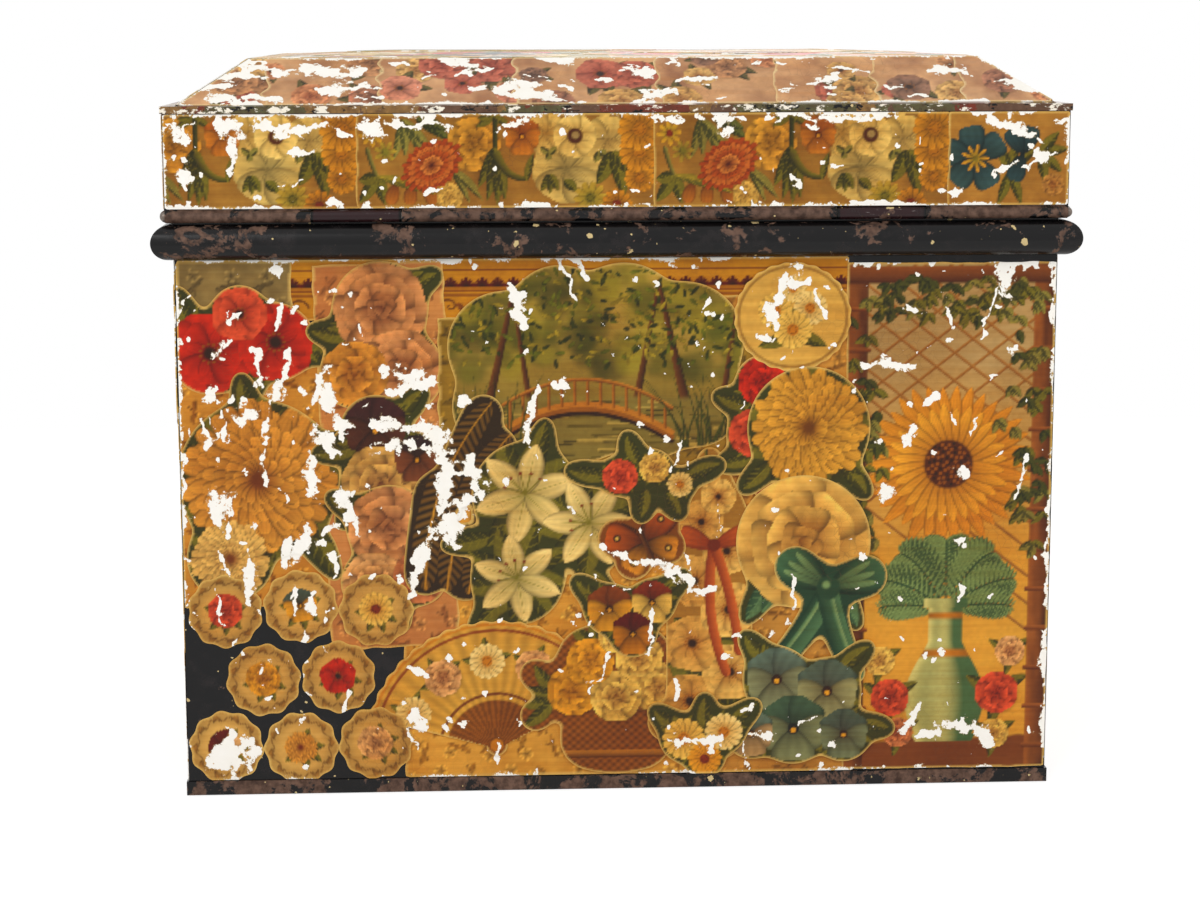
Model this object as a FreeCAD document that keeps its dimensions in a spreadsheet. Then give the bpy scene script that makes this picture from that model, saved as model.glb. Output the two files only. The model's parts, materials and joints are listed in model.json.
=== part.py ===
import FreeCAD, Part
import math
import os
import Sketcher

# A japanned tinplate box for papers and keepsakes: folded walls on a channelled base rim, a hollow roll
# moulding, and a hipped lid on a full-length hinge rod at the back, with a box lock in front and a bail
# handle at each end.
# Millimetres, +Z up, origin at the middle of the base. The hinged back faces -Y and the lock faces +Y.

# Driving sizes, in millimetres
SIZES = {
    "body_width": 406.0,          # outside of the walls, end to end
    "body_depth": 290.0,          # outside of the walls, back to front
    "tin_sheet": 0.8,             # tinplate of the walls and the lid
    "overrun": 2.0,               # how far every cut runs past what it cuts
    "hole_fit": 0.05,             # radial clearance of a wire or rod in its bore
    "base_sheet": 1.0,            # sheet of the base rim channel
    "base_rim_height": 6.5,       # outer leg of the channel
    "base_lip_height": 4.0,       # inner leg, which carries the base plate
    "seam_flange": 10.0,          # lap of an end wall behind the long walls
    "seam_relief": 0.6,           # room left at the ends of hems and flanges
    "moulding_foot": 252.0,       # underside of the roll moulding
    "moulding_height": 16.0,
    "moulding_reach": 9.6,        # how far the moulding stands out from the wall
    "neck_height": 15.0,          # walls above the moulding, inside the lid
    "hem_height": 4.0,            # folded edge along the top of the neck
    "lid_overhang": 3.6,          # skirt's outside beyond the wall's outside
    "bead_radius": 2.8,           # rolled lower edge of the lid
    "bead_gap": 0.9,              # from the moulding's top to the bead
    "bead_relief": 0.4,           # from the hinge bead to the end beads
    "skirt_height": 49.6,         # from the bead's middle to the lid's ledge
    "rim_drop": 3.2,              # edge of the ledge turned down over the skirt
    "ledge": 5.3,                 # flat step between the skirt and the slope
    "slope_run": 31.3,
    "slope_rise": 20.8,
    "panel_lap": 8.0,             # flange of a slope under the top panel
    "crown_rise": 1.8,            # how far the top panel swells
    "crown_inset": 60.0,          # from the panel's edge to its flat middle
    "knuckle_length": 41.0,
    "knuckle_offset": 120.0,      # knuckle's middle from the box's middle
    "knuckle_gap": 0.3,           # end clearance of a knuckle
    "notch_gap": 0.4,             # skirt's clearance over a knuckle
    "leaf_margin": 1.0,           # neck left bare above a hinge leaf
    "leaf_rivet_spread": 14.0,    # rivets each side of a leaf's middle
    "leaf_rivet_rise": 5.3,       # rivets above the hinge axis
    "rivet_radius": 1.0,
    "rivet_head_radius": 1.8,
    "rivet_head_height": 0.8,
    "lock_width": 70.0,
    "lock_height": 44.0,
    "lock_depth": 12.6,
    "lock_plate": 1.2,            # sheet of the case, the cover and the escutcheon
    "lock_drop": 6.0,             # case's top under the moulding's top
    "lock_rivet_inset": 5.0,      # rivets in from the case's corners
    "keyhole_rise": 12.0,         # keyhole above the case's foot
    "keyhole_radius": 2.2,
    "keyhole_slot": 2.4,
    "keyhole_drop": 7.0,
    "bolt_rise": 26.0,            # bolt's middle above the case's foot
    "bolt_height": 7.0,
    "bolt_thickness": 3.6,
    "bolt_travel": 6.0,
    "bolt_gap": 1.0,              # withdrawn bolt's tip to the staple
    "bolt_margin": 2.5,           # metal at the tail, past the guide slot
    "talon_width": 4.0,           # notch that the key's bit turns in
    "talon_depth": 1.6,
    "guide_radius": 1.5,
    "guide_spacing": 10.0,
    "guide_inset": 8.0,           # front guide pin from the staple
    "guide_gap": 0.2,
    "staple_plate": 2.0,
    "staple_width": 18.0,
    "staple_height": 22.0,
    "staple_clear": 2.0,          # arm's height over the neck
    "staple_rivet_spread": 5.0,
    "lug_thickness": 3.0,
    "lug_wall": 1.6,              # metal on each side of the eye
    "lug_foot": 3.5,              # metal under the eye
    "eye_gap": 0.5,
    "slot_gap": 0.6,              # case slot round the lug
    "lug_swing": 2.4,             # how far the lug moves out as the lid lifts
    "escutcheon_radius": 12.0,
    "escutcheon_length": 10.0,    # straight part of its sides
    "escutcheon_sink": 2.0,       # foot of that straight part under the keyhole
    "escutcheon_pin_inset": 3.5,
    "cover_gap": 0.3,
    "cover_drop": 12.0,           # from the cover's pin to the keyhole
    "cover_radius": 6.5,
    "cover_neck": 5.0,
    "cover_eye_radius": 3.6,
    "cover_pin_radius": 1.2,
    "cover_pin_head": 2.4,
    "handle_height": 164.0,       # bail's pivot above the floor
    "handle_plate_width": 124.0,
    "handle_plate_height": 28.0,
    "handle_plate_sheet": 1.2,
    "handle_rivet_spread": 34.0,
    "handle_rivet_rise": 7.0,
    "ear_offset": 48.0,           # ear's middle from the plate's middle
    "ear_width": 8.0,
    "ear_radius": 5.4,
    "ear_reach": 4.7,             # pivot's distance from the plate
    "bail_radius": 3.0,           # half the bail's wire
    "bail_fit": 0.1,
    "bail_leg_gap": 1.0,          # between an ear and the bail's leg
    "bail_stub": 1.0,             # end of the bail past its ear
    "bail_drop": 40.0,
    "bail_bend": 12.0,            # bend radius at the grip
    "pivot_bend": 4.0,            # bend radius at the pivot
}

# Part of a rivet head's radius that its flat top keeps
HEAD_TOP_SHARE = 0.6

doc = FreeCAD.newDocument("storage_box")
sheet = doc.addObject("Spreadsheet::Sheet", "sizes")
subparts = []


class Length:
    """A size that keeps its number and the sheet expression that gives it."""

    def __init__(self, text, value):
        self.text = text
        self.value = value

    def joined(self, sign, other, value):
        return Length(f"({self.text} {sign} {as_text(other)})", value)

    def __add__(self, other):
        return self.joined("+", other, self.value + as_value(other))

    def __sub__(self, other):
        return self.joined("-", other, self.value - as_value(other))

    def __mul__(self, factor):
        return self.joined("*", factor, self.value * factor)

    def __truediv__(self, factor):
        return self.joined("/", factor, self.value / factor)

    def __neg__(self):
        return Length(f"(0 - {self.text})", -self.value)


def as_text(item):
    return item.text if isinstance(item, Length) else repr(item)


def as_value(item):
    return item.value if isinstance(item, Length) else item


class SheetSizes:
    """Gives each aliased cell of the sheet as a Length."""

    def __getattr__(self, alias):
        return Length(f"sizes.{alias}", SIZES[alias])


for row, (alias, value) in enumerate(SIZES.items(), start=1):
    sheet.set(f"A{row}", alias)
    sheet.set(f"B{row}", str(value))
    sheet.setAlias(f"B{row}", alias)
doc.recompute()
mm = SheetSizes()
zero = Length("0", 0)


# Drawing helpers

def bind(item, prop, length):
    item.setExpression(prop, length.text)


def turn_about(axis, degrees):
    return FreeCAD.Rotation(FreeCAD.Vector(*axis), degrees)


def new_body(label, turn=0):
    """A sub-part drawn as on the back and turned about Z to its own side."""
    body = doc.addObject("PartDesign::Body", label)
    body.Label = label
    body.Placement = FreeCAD.Placement(FreeCAD.Vector(), turn_about((0, 0, 1), turn))
    subparts.append(body)
    return body


def sketch_on(body, name, role, offset=zero):
    plane = [item for item in body.Origin.OriginFeatures if item.Role == role][0]
    sketch = body.newObject("Sketcher::SketchObject", f"{body.Name}_{name}")
    sketch.AttachmentSupport = [(plane, "")]
    sketch.MapMode = "FlatFace"
    bind(sketch, "AttachmentOffset.Base.z", offset)
    return sketch


# In a constraint, point 1 of an edge is its start, 2 its end and 3 its centre, and edge -1 holds the origin.

def hold(sketch, kind, edge, point, length):
    """Holds one point of the sketch at a bound distance from its origin."""
    rule = Sketcher.Constraint(kind, -1, 1, edge, point, length.value)
    bind(sketch, f"Constraints[{sketch.addConstraint(rule)}]", length)


def outline(sketch, corners, arcs=None):
    """Draws a closed outline anticlockwise; arcs gives the held centre of each round edge by its index."""
    arcs = arcs or {}
    spots = [FreeCAD.Vector(across.value, along.value, 0) for across, along in corners]
    first = sketch.GeometryCount
    for index, spot in enumerate(spots):
        following = spots[(index + 1) % len(spots)]
        edge = Part.LineSegment(spot, following)
        if index in arcs:
            middle = (spot + following) / 2
            start = math.atan2(spot.y - middle.y, spot.x - middle.x)
            circle = Part.Circle(middle, FreeCAD.Vector(0, 0, 1), (spot - middle).Length)
            edge = Part.ArcOfCircle(circle, start, start + math.pi)
        sketch.addGeometry(edge)
    for index, (across, along) in enumerate(corners):
        edge = first + index
        previous = first + (index - 1) % len(corners)
        sketch.addConstraint(Sketcher.Constraint("Coincident", previous, 2, edge, 1))
        hold(sketch, "DistanceX", edge, 1, across)
        hold(sketch, "DistanceY", edge, 1, along)
        if index in arcs:
            kind, centre = arcs[index]
            hold(sketch, kind, edge, 3, centre)


def rectangle(sketch, left, right, low, high):
    outline(sketch, [(left, low), (right, low), (right, high), (left, high)])


def disc(sketch, across, along, radius):
    middle = FreeCAD.Vector(across.value, along.value, 0)
    edge = sketch.addGeometry(Part.Circle(middle, FreeCAD.Vector(0, 0, 1), radius.value))
    hold(sketch, "DistanceX", edge, 3, across)
    hold(sketch, "DistanceY", edge, 3, along)
    size = sketch.addConstraint(Sketcher.Constraint("Radius", edge, radius.value))
    bind(sketch, f"Constraints[{size}]", radius)


def d_outline(sketch, flat, centre, low, high):
    """A flat back and straight sides that end in a half round facing outwards."""
    corners = [(-flat, high), (-centre, high), (-centre, low), (-flat, low)]
    outline(sketch, corners, {1: ("DistanceX", -centre)})


def stadium(sketch, radius, low, high):
    """An upright outline with a half round at each end."""
    corners = [(radius, low), (radius, high), (-radius, high), (-radius, low)]
    outline(sketch, corners, {1: ("DistanceY", high), 3: ("DistanceY", low)})


def pad(body, sketch, length, both_ways=False):
    feature = body.newObject("PartDesign::Pad", f"{sketch.Name}_pad")
    feature.Profile = sketch
    feature.SideType = "Symmetric" if both_ways else "One side"
    bind(feature, "Length", length)
    sketch.Visibility = False
    return feature


def pocket(body, sketch, length=None):
    """Cuts right through both ways, or to a length against the sketch's normal."""
    feature = body.newObject("PartDesign::Pocket", f"{sketch.Name}_cut")
    feature.Profile = sketch
    if length is None:
        feature.Type = "ThroughAll"
        feature.SideType = "Symmetric"
    else:
        bind(feature, "Length", length)
    sketch.Visibility = False
    return feature


def upright_plate(body, name, inner, outer):
    """A sketch on the wall's plane at the inner face, with the thickness that pads it to the outer face."""
    return sketch_on(body, name, "XZ_Plane", inner), outer - inner


# Levels and faces that the pieces share

half_width = mm.body_width / 2
half_depth = mm.body_depth / 2
moulding_top = mm.moulding_foot + mm.moulding_height
neck_top = moulding_top + mm.neck_height
floor_top = mm.base_lip_height + mm.tin_sheet
hinge_height = moulding_top + mm.bead_gap + mm.bead_radius
ledge_height = hinge_height + mm.skirt_height
fold_height = ledge_height + mm.slope_rise
fold_inset = mm.ledge + mm.slope_run
hem_foot = neck_top - mm.hem_height
bore_radius = mm.bead_radius - mm.tin_sheet
wire_radius = bore_radius - mm.hole_fit


class Side:
    """One side of the box: its turn about Z, its wall's outside and where its corners are mitred."""

    def __init__(self, name, turn, face, mitre):
        self.name = name
        self.turn = turn
        self.face = face
        self.mitre = mitre
        self.skirt = face + mm.lid_overhang
        self.bead = self.skirt - mm.tin_sheet / 2


long_mitre = half_width - half_depth
back = Side("back", 0, half_depth, long_mitre)
right = Side("right", 90, half_width, -long_mitre)
front = Side("front", 180, half_depth, long_mitre)
left = Side("left", 270, half_width, -long_mitre)
sides = [back, front, left, right]


def mitre_ends(body, side, inner, outer):
    """Cuts both ends of a run at 45 degrees, along the box's corners."""
    near = inner - mm.overrun
    far = outer + mm.overrun
    sketch = sketch_on(body, "mitre", "XY_Plane")
    right_end = [(near + side.mitre, -near), (far + side.mitre, -far), (far + side.mitre, -near)]
    outline(sketch, right_end)
    outline(sketch, [(-across, along) for across, along in right_end])
    pocket(body, sketch)


def profile_run(label, side, outer, name="profile"):
    """A body with an empty profile sketch and the length of a run that reaches the corners."""
    body = new_body(label, side.turn)
    return body, sketch_on(body, name, "YZ_Plane"), (outer + side.mitre) * 2


# Base rim: a channel that holds the walls' lower edges

def base_rim(side):
    outer = side.face + mm.base_sheet
    wall_in = side.face - mm.tin_sheet
    inner = wall_in - mm.base_sheet
    body, profile, length = profile_run(f"base_rim_{side.name}", side, outer)
    outline(profile, [
        (-outer, zero), (-inner, zero), (-inner, mm.base_lip_height), (-wall_in, mm.base_lip_height),
        (-wall_in, mm.base_sheet), (-side.face, mm.base_sheet),
        (-side.face, mm.base_rim_height), (-outer, mm.base_rim_height)])
    pad(body, profile, length, both_ways=True)
    mitre_ends(body, side, inner, outer)


def base_plate():
    body = new_body("base_plate")
    sketch = sketch_on(body, "outline", "XY_Plane", mm.base_lip_height)
    across = half_width - mm.tin_sheet
    along = half_depth - mm.tin_sheet
    rectangle(sketch, -across, across, -along, along)
    pad(body, sketch, mm.tin_sheet)


# Walls

def wall_plate(label, side, half_length, holes, cut_keyhole=False):
    """A wall with a hem folded in along its top; holes lists the middle and radius of each round hole."""
    body = new_body(label, side.turn)
    inner = side.face - mm.tin_sheet
    sketch, thickness = upright_plate(body, "wall", inner, side.face)
    rectangle(sketch, -half_length, half_length, mm.base_sheet, neck_top)
    for across, along, radius in holes:
        disc(sketch, across, along, radius)
    pad(body, sketch, thickness)
    hem, hem_thickness = upright_plate(body, "hem", inner - mm.tin_sheet, inner)
    hem_end = half_length - mm.tin_sheet * 2 - mm.seam_relief
    rectangle(hem, -hem_end, hem_end, hem_foot, neck_top)
    pad(body, hem, hem_thickness)
    if cut_keyhole:
        keyhole(body)
    return body


def end_wall(side):
    """An end wall, with a flange at each edge that laps behind the long walls."""
    half_length = half_depth - mm.tin_sheet
    body = wall_plate(f"{side.name}_end_wall", side, half_length, rivet_holes(handle_rivet_spots))
    sketch = sketch_on(body, "flange", "XY_Plane", floor_top)
    inner = side.face - mm.tin_sheet
    for across, within in ((half_length, half_length - mm.tin_sheet),
                           (mm.tin_sheet - half_length, -half_length)):
        rectangle(sketch, within, across, -inner, mm.seam_flange - inner)
    pad(body, sketch, hem_foot - mm.seam_relief - floor_top)


# Roll moulding: a hollow half-round strip, mitred at the corners

def roll_moulding(side):
    outer = side.face + mm.moulding_reach
    crown = outer - mm.moulding_height / 2
    body, profile, length = profile_run(f"roll_moulding_{side.name}", side, outer)
    d_outline(profile, side.face, crown, mm.moulding_foot, moulding_top)
    pad(body, profile, length, both_ways=True)
    hollow = sketch_on(body, "hollow", "YZ_Plane")
    low = mm.moulding_foot + mm.tin_sheet
    high = moulding_top - mm.tin_sheet
    d_outline(hollow, side.face - mm.overrun, crown, low, high)
    pocket(body, hollow)
    mitre_ends(body, side, side.face, outer)


# Rivets

def standing_out(kind, name, x, reach, z, outwards=True):
    """A primitive whose axis is square to the wall, pointing out of the box or into it."""
    item = doc.addObject(kind, name)
    item.Placement = FreeCAD.Placement(FreeCAD.Vector(), turn_about((1, 0, 0), 90 if outwards else -90))
    bind(item, "Placement.Base.x", x)
    bind(item, "Placement.Base.y", -reach)
    bind(item, "Placement.Base.z", z)
    return item


def head(name, x, reach, z, radius, height, outwards):
    cone = standing_out("Part::Cone", name, x, reach, z, outwards)
    bind(cone, "Radius1", radius)
    bind(cone, "Radius2", radius * HEAD_TOP_SHARE)
    bind(cone, "Height", height)
    return cone


def rivet(name, x, z, inner, outer, radius, head_radius, tail=True):
    """A shank between two faces, with a head outside and, unless it ends flush, one inside."""
    shank = standing_out("Part::Cylinder", f"{name}_shank", x, inner, z)
    bind(shank, "Radius", radius)
    bind(shank, "Height", outer - inner)
    pieces = [shank, head(f"{name}_head", x, outer, z, head_radius, mm.rivet_head_height, True)]
    if tail:
        pieces.append(head(f"{name}_tail", x, inner, z, head_radius, mm.rivet_head_height, False))
    whole = doc.addObject("Part::MultiFuse", name)
    whole.Shapes = pieces
    return whole


def rivet_group(label, side, spots, inner, outer):
    """Rivets of one fixing, as separate solids in one sub-part."""
    rivets = [
        rivet(f"{label}_{index}", x, z, inner, outer, mm.rivet_radius, mm.rivet_head_radius)
        for index, (x, z) in enumerate(spots)]
    group = doc.addObject("Part::Compound", label)
    group.Label = label
    group.Links = rivets
    group.Placement = FreeCAD.Placement(FreeCAD.Vector(), turn_about((0, 0, 1), side.turn))
    subparts.append(group)


def single_rivet(label, side, x, z, inner, outer, radius, head_radius):
    whole = rivet(label, x, z, inner, outer, radius, head_radius, tail=False)
    whole.Label = label
    whole.Placement = FreeCAD.Placement(FreeCAD.Vector(), turn_about((0, 0, 1), side.turn))
    subparts.append(whole)


def rivet_holes(spots):
    return [(x, z, mm.rivet_radius) for x, z in spots]


def four_spots(spread, middle, rise):
    return [(x, z) for x in (-spread, spread) for z in (middle - rise, middle + rise)]


leaf_rivet_height = hinge_height + mm.leaf_rivet_rise
leaf_spots = {
    end: [(centre - mm.leaf_rivet_spread, leaf_rivet_height), (centre + mm.leaf_rivet_spread, leaf_rivet_height)]
    for end, centre in (("left", -mm.knuckle_offset), ("right", mm.knuckle_offset))}
handle_rivet_spots = four_spots(mm.handle_rivet_spread, mm.handle_height, mm.handle_rivet_rise)


# Hinge: two leaves on the neck, curled round a rod that the lid's bead holds

def hinge_leaf(end, centre):
    body = new_body(f"hinge_leaf_{end}", back.turn)
    start = centre - mm.knuckle_length / 2
    curl = sketch_on(body, "curl", "YZ_Plane", start)
    disc(curl, -back.bead, hinge_height, mm.bead_radius)
    disc(curl, -back.bead, hinge_height, bore_radius)
    pad(body, curl, mm.knuckle_length)
    sketch, thickness = upright_plate(body, "leaf", back.face, back.face + mm.tin_sheet)
    rectangle(sketch, start, start + mm.knuckle_length, hinge_height, neck_top - mm.leaf_margin)
    for x, z, radius in rivet_holes(leaf_spots[end]):
        disc(sketch, x, z, radius)
    pad(body, sketch, thickness)


def hinge_rod():
    """A rod through the bead and both knuckles, with a round head at each end."""
    lid_half = right.bead
    shank = doc.addObject("Part::Cylinder", "hinge_rod_shank")
    shank.Placement = FreeCAD.Placement(FreeCAD.Vector(), turn_about((0, 1, 0), 90))
    bind(shank, "Radius", wire_radius)
    bind(shank, "Height", lid_half * 2)
    bind(shank, "Placement.Base.x", -lid_half)
    pieces = [shank]
    for name, sign, x in (("left", -1, -lid_half), ("right", 1, lid_half)):
        ball = doc.addObject("Part::Sphere", f"hinge_rod_{name}_head")
        ball.Placement = FreeCAD.Placement(FreeCAD.Vector(), turn_about((0, 1, 0), 90 * sign))
        ball.Angle1 = 0
        ball.Angle2 = 90
        bind(ball, "Radius", mm.bead_radius - mm.tin_sheet / 2)
        bind(ball, "Placement.Base.x", x)
        pieces.append(ball)
    for piece in pieces:
        bind(piece, "Placement.Base.y", -back.bead)
        bind(piece, "Placement.Base.z", hinge_height)
    rod = doc.addObject("Part::MultiFuse", "hinge_rod")
    rod.Label = "hinge_rod"
    rod.Shapes = pieces
    subparts.append(rod)


# Lid

def skirt_plate(side):
    """A skirt's flat sheet, long enough to mitre, with the length and the faces of its bead."""
    outer = side.bead + mm.bead_radius
    inner = side.bead - mm.bead_radius
    body, profile, length = profile_run(f"lid_skirt_{side.name}", side, outer)
    low = hinge_height + mm.bead_radius - mm.tin_sheet / 2
    rectangle(profile, -side.skirt, mm.tin_sheet - side.skirt, low, ledge_height - mm.tin_sheet)
    pad(body, profile, length, both_ways=True)
    return body, inner, outer, length


def bead(body, side, length):
    ring = sketch_on(body, "bead", "YZ_Plane")
    disc(ring, -side.bead, hinge_height, mm.bead_radius)
    disc(ring, -side.bead, hinge_height, bore_radius)
    pad(body, ring, length, both_ways=True)


def front_skirt():
    body, inner, outer, length = skirt_plate(front)
    bead(body, front, length)
    mitre_ends(body, front, inner, outer)
    holes = sketch_on(body, "rivet_holes", "XZ_Plane")
    for x, z, radius in rivet_holes(staple_spots):
        disc(holes, x, z, radius)
    pocket(body, holes)


def end_skirt(side, back_sign):
    """An end skirt, whose bead stops short of the hinge bead; back_sign says which end of its run that is."""
    body, inner, outer, length = skirt_plate(side)
    bead(body, side, length)
    mitre_ends(body, side, inner, outer)
    relief = sketch_on(body, "relief", "XY_Plane", hinge_height + mm.bead_radius)
    stop = back.bead - mm.bead_radius - mm.bead_relief
    past = back.bead + mm.bead_radius + mm.overrun
    limits = sorted((stop * back_sign, past * back_sign), key=as_value)
    rectangle(relief, *limits, -(outer + mm.overrun), mm.overrun - inner)
    pocket(body, relief, mm.bead_radius * 2 + mm.overrun)


def back_skirt():
    """The hinged skirt: its bead runs from end to end, with a notch for each knuckle."""
    body, inner, outer, length = skirt_plate(back)
    mitre_ends(body, back, inner, outer)
    bead(body, back, right.bead * 2)
    notches = sketch_on(body, "notches", "XZ_Plane")
    half_notch = mm.knuckle_length / 2 + mm.knuckle_gap
    low = hinge_height - mm.bead_radius - mm.overrun
    high = hinge_height + mm.bead_radius + mm.notch_gap
    for centre in (-mm.knuckle_offset, mm.knuckle_offset):
        rectangle(notches, centre - half_notch, centre + half_notch, low, high)
    pocket(body, notches)


def edge_wire():
    """The wire that the front and end beads are rolled round, bent at the two front corners."""
    corner_x = right.bead
    corner_y = front.bead
    tail = back.bead - mm.bead_radius - mm.bead_relief
    bar = doc.addObject("Part::Cylinder", "edge_wire_front")
    bar.Placement = FreeCAD.Placement(FreeCAD.Vector(), turn_about((0, 1, 0), 90))
    bind(bar, "Height", corner_x * 2)
    bind(bar, "Placement.Base.x", -corner_x)
    bind(bar, "Placement.Base.y", corner_y)
    pieces = [bar]
    for name, x in (("left", -corner_x), ("right", corner_x)):
        leg = doc.addObject("Part::Cylinder", f"edge_wire_{name}")
        leg.Placement = FreeCAD.Placement(FreeCAD.Vector(), turn_about((1, 0, 0), -90))
        bind(leg, "Height", corner_y + tail)
        bind(leg, "Placement.Base.y", -tail)
        corner = doc.addObject("Part::Sphere", f"edge_wire_{name}_corner")
        bind(corner, "Placement.Base.y", corner_y)
        for piece in (leg, corner):
            bind(piece, "Placement.Base.x", x)
            pieces.append(piece)
    for piece in pieces:
        bind(piece, "Radius", wire_radius)
        bind(piece, "Placement.Base.z", hinge_height)
    wire = doc.addObject("Part::MultiFuse", "lid_edge_wire")
    wire.Label = "lid_edge_wire"
    wire.Shapes = pieces
    subparts.append(wire)


def lid_slope(side):
    """A slope with a ledge turned down over the skirt and a flange under the top panel."""
    rim = side.skirt + mm.tin_sheet
    foot = side.skirt - mm.ledge
    fold = side.skirt - fold_inset
    lap = fold - mm.panel_lap
    under_ledge = ledge_height - mm.tin_sheet
    rim_low = ledge_height - mm.rim_drop
    lap_top = fold_height - mm.tin_sheet
    lap_low = lap_top - mm.tin_sheet
    body, profile, length = profile_run(f"lid_slope_{side.name}", side, rim)
    outline(profile, [
        (-rim, rim_low), (-side.skirt, rim_low), (-side.skirt, under_ledge), (-foot, under_ledge),
        (-fold, lap_low), (-lap, lap_low), (-lap, lap_top), (-fold, lap_top),
        (-foot, ledge_height), (-rim, ledge_height)])
    pad(body, profile, length, both_ways=True)
    mitre_ends(body, side, lap, rim)


def top_panel():
    """The lid's top, swelled to a flat middle, on the flanges of the slopes."""
    body = new_body("lid_top_panel")
    across = right.skirt - fold_inset
    along = back.skirt - fold_inset
    under = fold_height - mm.tin_sheet

    def level(name, inset, height):
        sketch = sketch_on(body, name, "XY_Plane", height)
        rectangle(sketch, inset - across, across - inset, inset - along, along - inset)
        return sketch

    edge = level("edge", zero, under)
    pad(body, edge, mm.tin_sheet)
    for kind, name, inset, height in (("PartDesign::AdditiveLoft", "swell", zero, fold_height),
                                      ("PartDesign::SubtractiveLoft", "dish", mm.panel_lap, under)):
        loft = body.newObject(kind, f"lid_top_panel_{name}")
        loft.Profile = level(f"{name}_foot", inset, height)
        loft.Sections = [level(f"{name}_middle", mm.crown_inset, height + mm.crown_rise)]
        loft.Ruled = True
    body.Tip = loft


# Lock: a case inside the front wall, a sliding bolt, and a staple that drops into it from the lid

lock_top = moulding_top - mm.lock_drop
lock_foot = lock_top - mm.lock_height
lock_back = half_depth - mm.tin_sheet
lock_front = lock_back - mm.lock_depth
keyhole_height = lock_foot + mm.keyhole_rise
bolt_height = lock_foot + mm.bolt_rise
half_lug = mm.lug_thickness / 2
eye_depth = mm.bolt_thickness + mm.eye_gap * 2
lug_inner = lock_front + mm.slot_gap + mm.bolt_gap / 2
lug_outer = lug_inner + eye_depth + mm.lug_wall * 2
bolt_middle = (lug_inner + lug_outer) / 2
lock_spots = four_spots(
    mm.lock_width / 2 - mm.lock_rivet_inset - mm.lock_plate, lock_foot + mm.lock_height / 2,
    mm.lock_height / 2 - mm.lock_rivet_inset - mm.lock_plate)
cover_pin_height = keyhole_height + mm.cover_drop
escutcheon_low = keyhole_height - mm.escutcheon_sink
escutcheon_pin_height = escutcheon_low - mm.escutcheon_radius + mm.escutcheon_pin_inset
guide_front = -(half_lug + mm.guide_inset)
guide_rear = guide_front - mm.guide_spacing


def keyhole(body):
    for name, draw in (
            ("keyhole", lambda sketch: disc(sketch, zero, keyhole_height, mm.keyhole_radius)),
            ("keyhole_slot", lambda sketch: rectangle(
                sketch, -mm.keyhole_slot / 2, mm.keyhole_slot / 2,
                keyhole_height - mm.keyhole_drop, keyhole_height))):
        sketch = sketch_on(body, name, "XZ_Plane")
        draw(sketch)
        pocket(body, sketch)


def lock_case():
    """A tray against the front wall, open to the inside, with a slot in its top for the staple."""
    body = new_body("lock_case", front.turn)
    half = mm.lock_width / 2
    block, thickness = upright_plate(body, "block", lock_front, lock_back)
    rectangle(block, -half, half, lock_foot, lock_top)
    for x, z, radius in rivet_holes(lock_spots):
        disc(block, x, z, radius)
    pad(body, block, thickness)
    hollow = sketch_on(body, "hollow", "XZ_Plane", lock_back - mm.lock_plate)
    inside = half - mm.lock_plate
    rectangle(hollow, -inside, inside, lock_foot + mm.lock_plate, lock_top - mm.lock_plate)
    pocket(body, hollow, mm.lock_depth)
    slot = sketch_on(body, "slot", "XY_Plane", lock_top + mm.overrun)
    slot_half = half_lug + mm.slot_gap
    rectangle(slot, -slot_half, slot_half, -(lug_outer + mm.lug_swing), mm.slot_gap - lug_inner)
    pocket(body, slot, mm.lock_plate + mm.overrun * 2)
    keyhole(body)


def lock_cover():
    body = new_body("lock_cover", front.turn)
    half = mm.lock_width / 2
    sketch, thickness = upright_plate(body, "outline", lock_front - mm.lock_plate, lock_front)
    rectangle(sketch, -half, half, lock_foot, lock_top)
    pad(body, sketch, thickness)


def guide_pins():
    """Two pins between the case and its cover, which the bolt's slot slides on."""
    pins = []
    for name, x in (("rear", guide_rear), ("front", guide_front)):
        pin = standing_out("Part::Cylinder", f"bolt_guide_{name}", x, lock_front, bolt_height)
        bind(pin, "Radius", mm.guide_radius)
        bind(pin, "Height", mm.lock_depth - mm.lock_plate)
        pins.append(pin)
    group = doc.addObject("Part::Compound", "bolt_guide_pins")
    group.Label = "bolt_guide_pins"
    group.Links = pins
    group.Placement = FreeCAD.Placement(FreeCAD.Vector(), turn_about((0, 0, 1), front.turn))
    subparts.append(group)


def lock_bolt():
    """A flat bolt, withdrawn, with its guide slot and a notch for the key's bit."""
    body = new_body("lock_bolt", front.turn)
    tip = -(half_lug + mm.bolt_gap)
    slot_half = mm.guide_radius + mm.guide_gap
    slot_rear = guide_rear - mm.bolt_travel
    tail = slot_rear - slot_half - mm.bolt_margin
    low = bolt_height - mm.bolt_height / 2
    high = bolt_height + mm.bolt_height / 2
    sketch, thickness = upright_plate(
        body, "bar", bolt_middle - mm.bolt_thickness / 2, bolt_middle + mm.bolt_thickness / 2)
    rectangle(sketch, tail, tip, low, high)
    pad(body, sketch, thickness)
    slot = sketch_on(body, "slot", "XZ_Plane")
    rectangle(slot, slot_rear - slot_half, guide_front + slot_half,
              bolt_height - slot_half, bolt_height + slot_half)
    pocket(body, slot)
    talon = sketch_on(body, "talon", "XZ_Plane")
    talon_middle = (guide_rear + guide_front) / 2
    rectangle(talon, talon_middle - mm.talon_width / 2, talon_middle + mm.talon_width / 2,
              low - mm.overrun, low + mm.talon_depth)
    pocket(body, talon)


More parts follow.
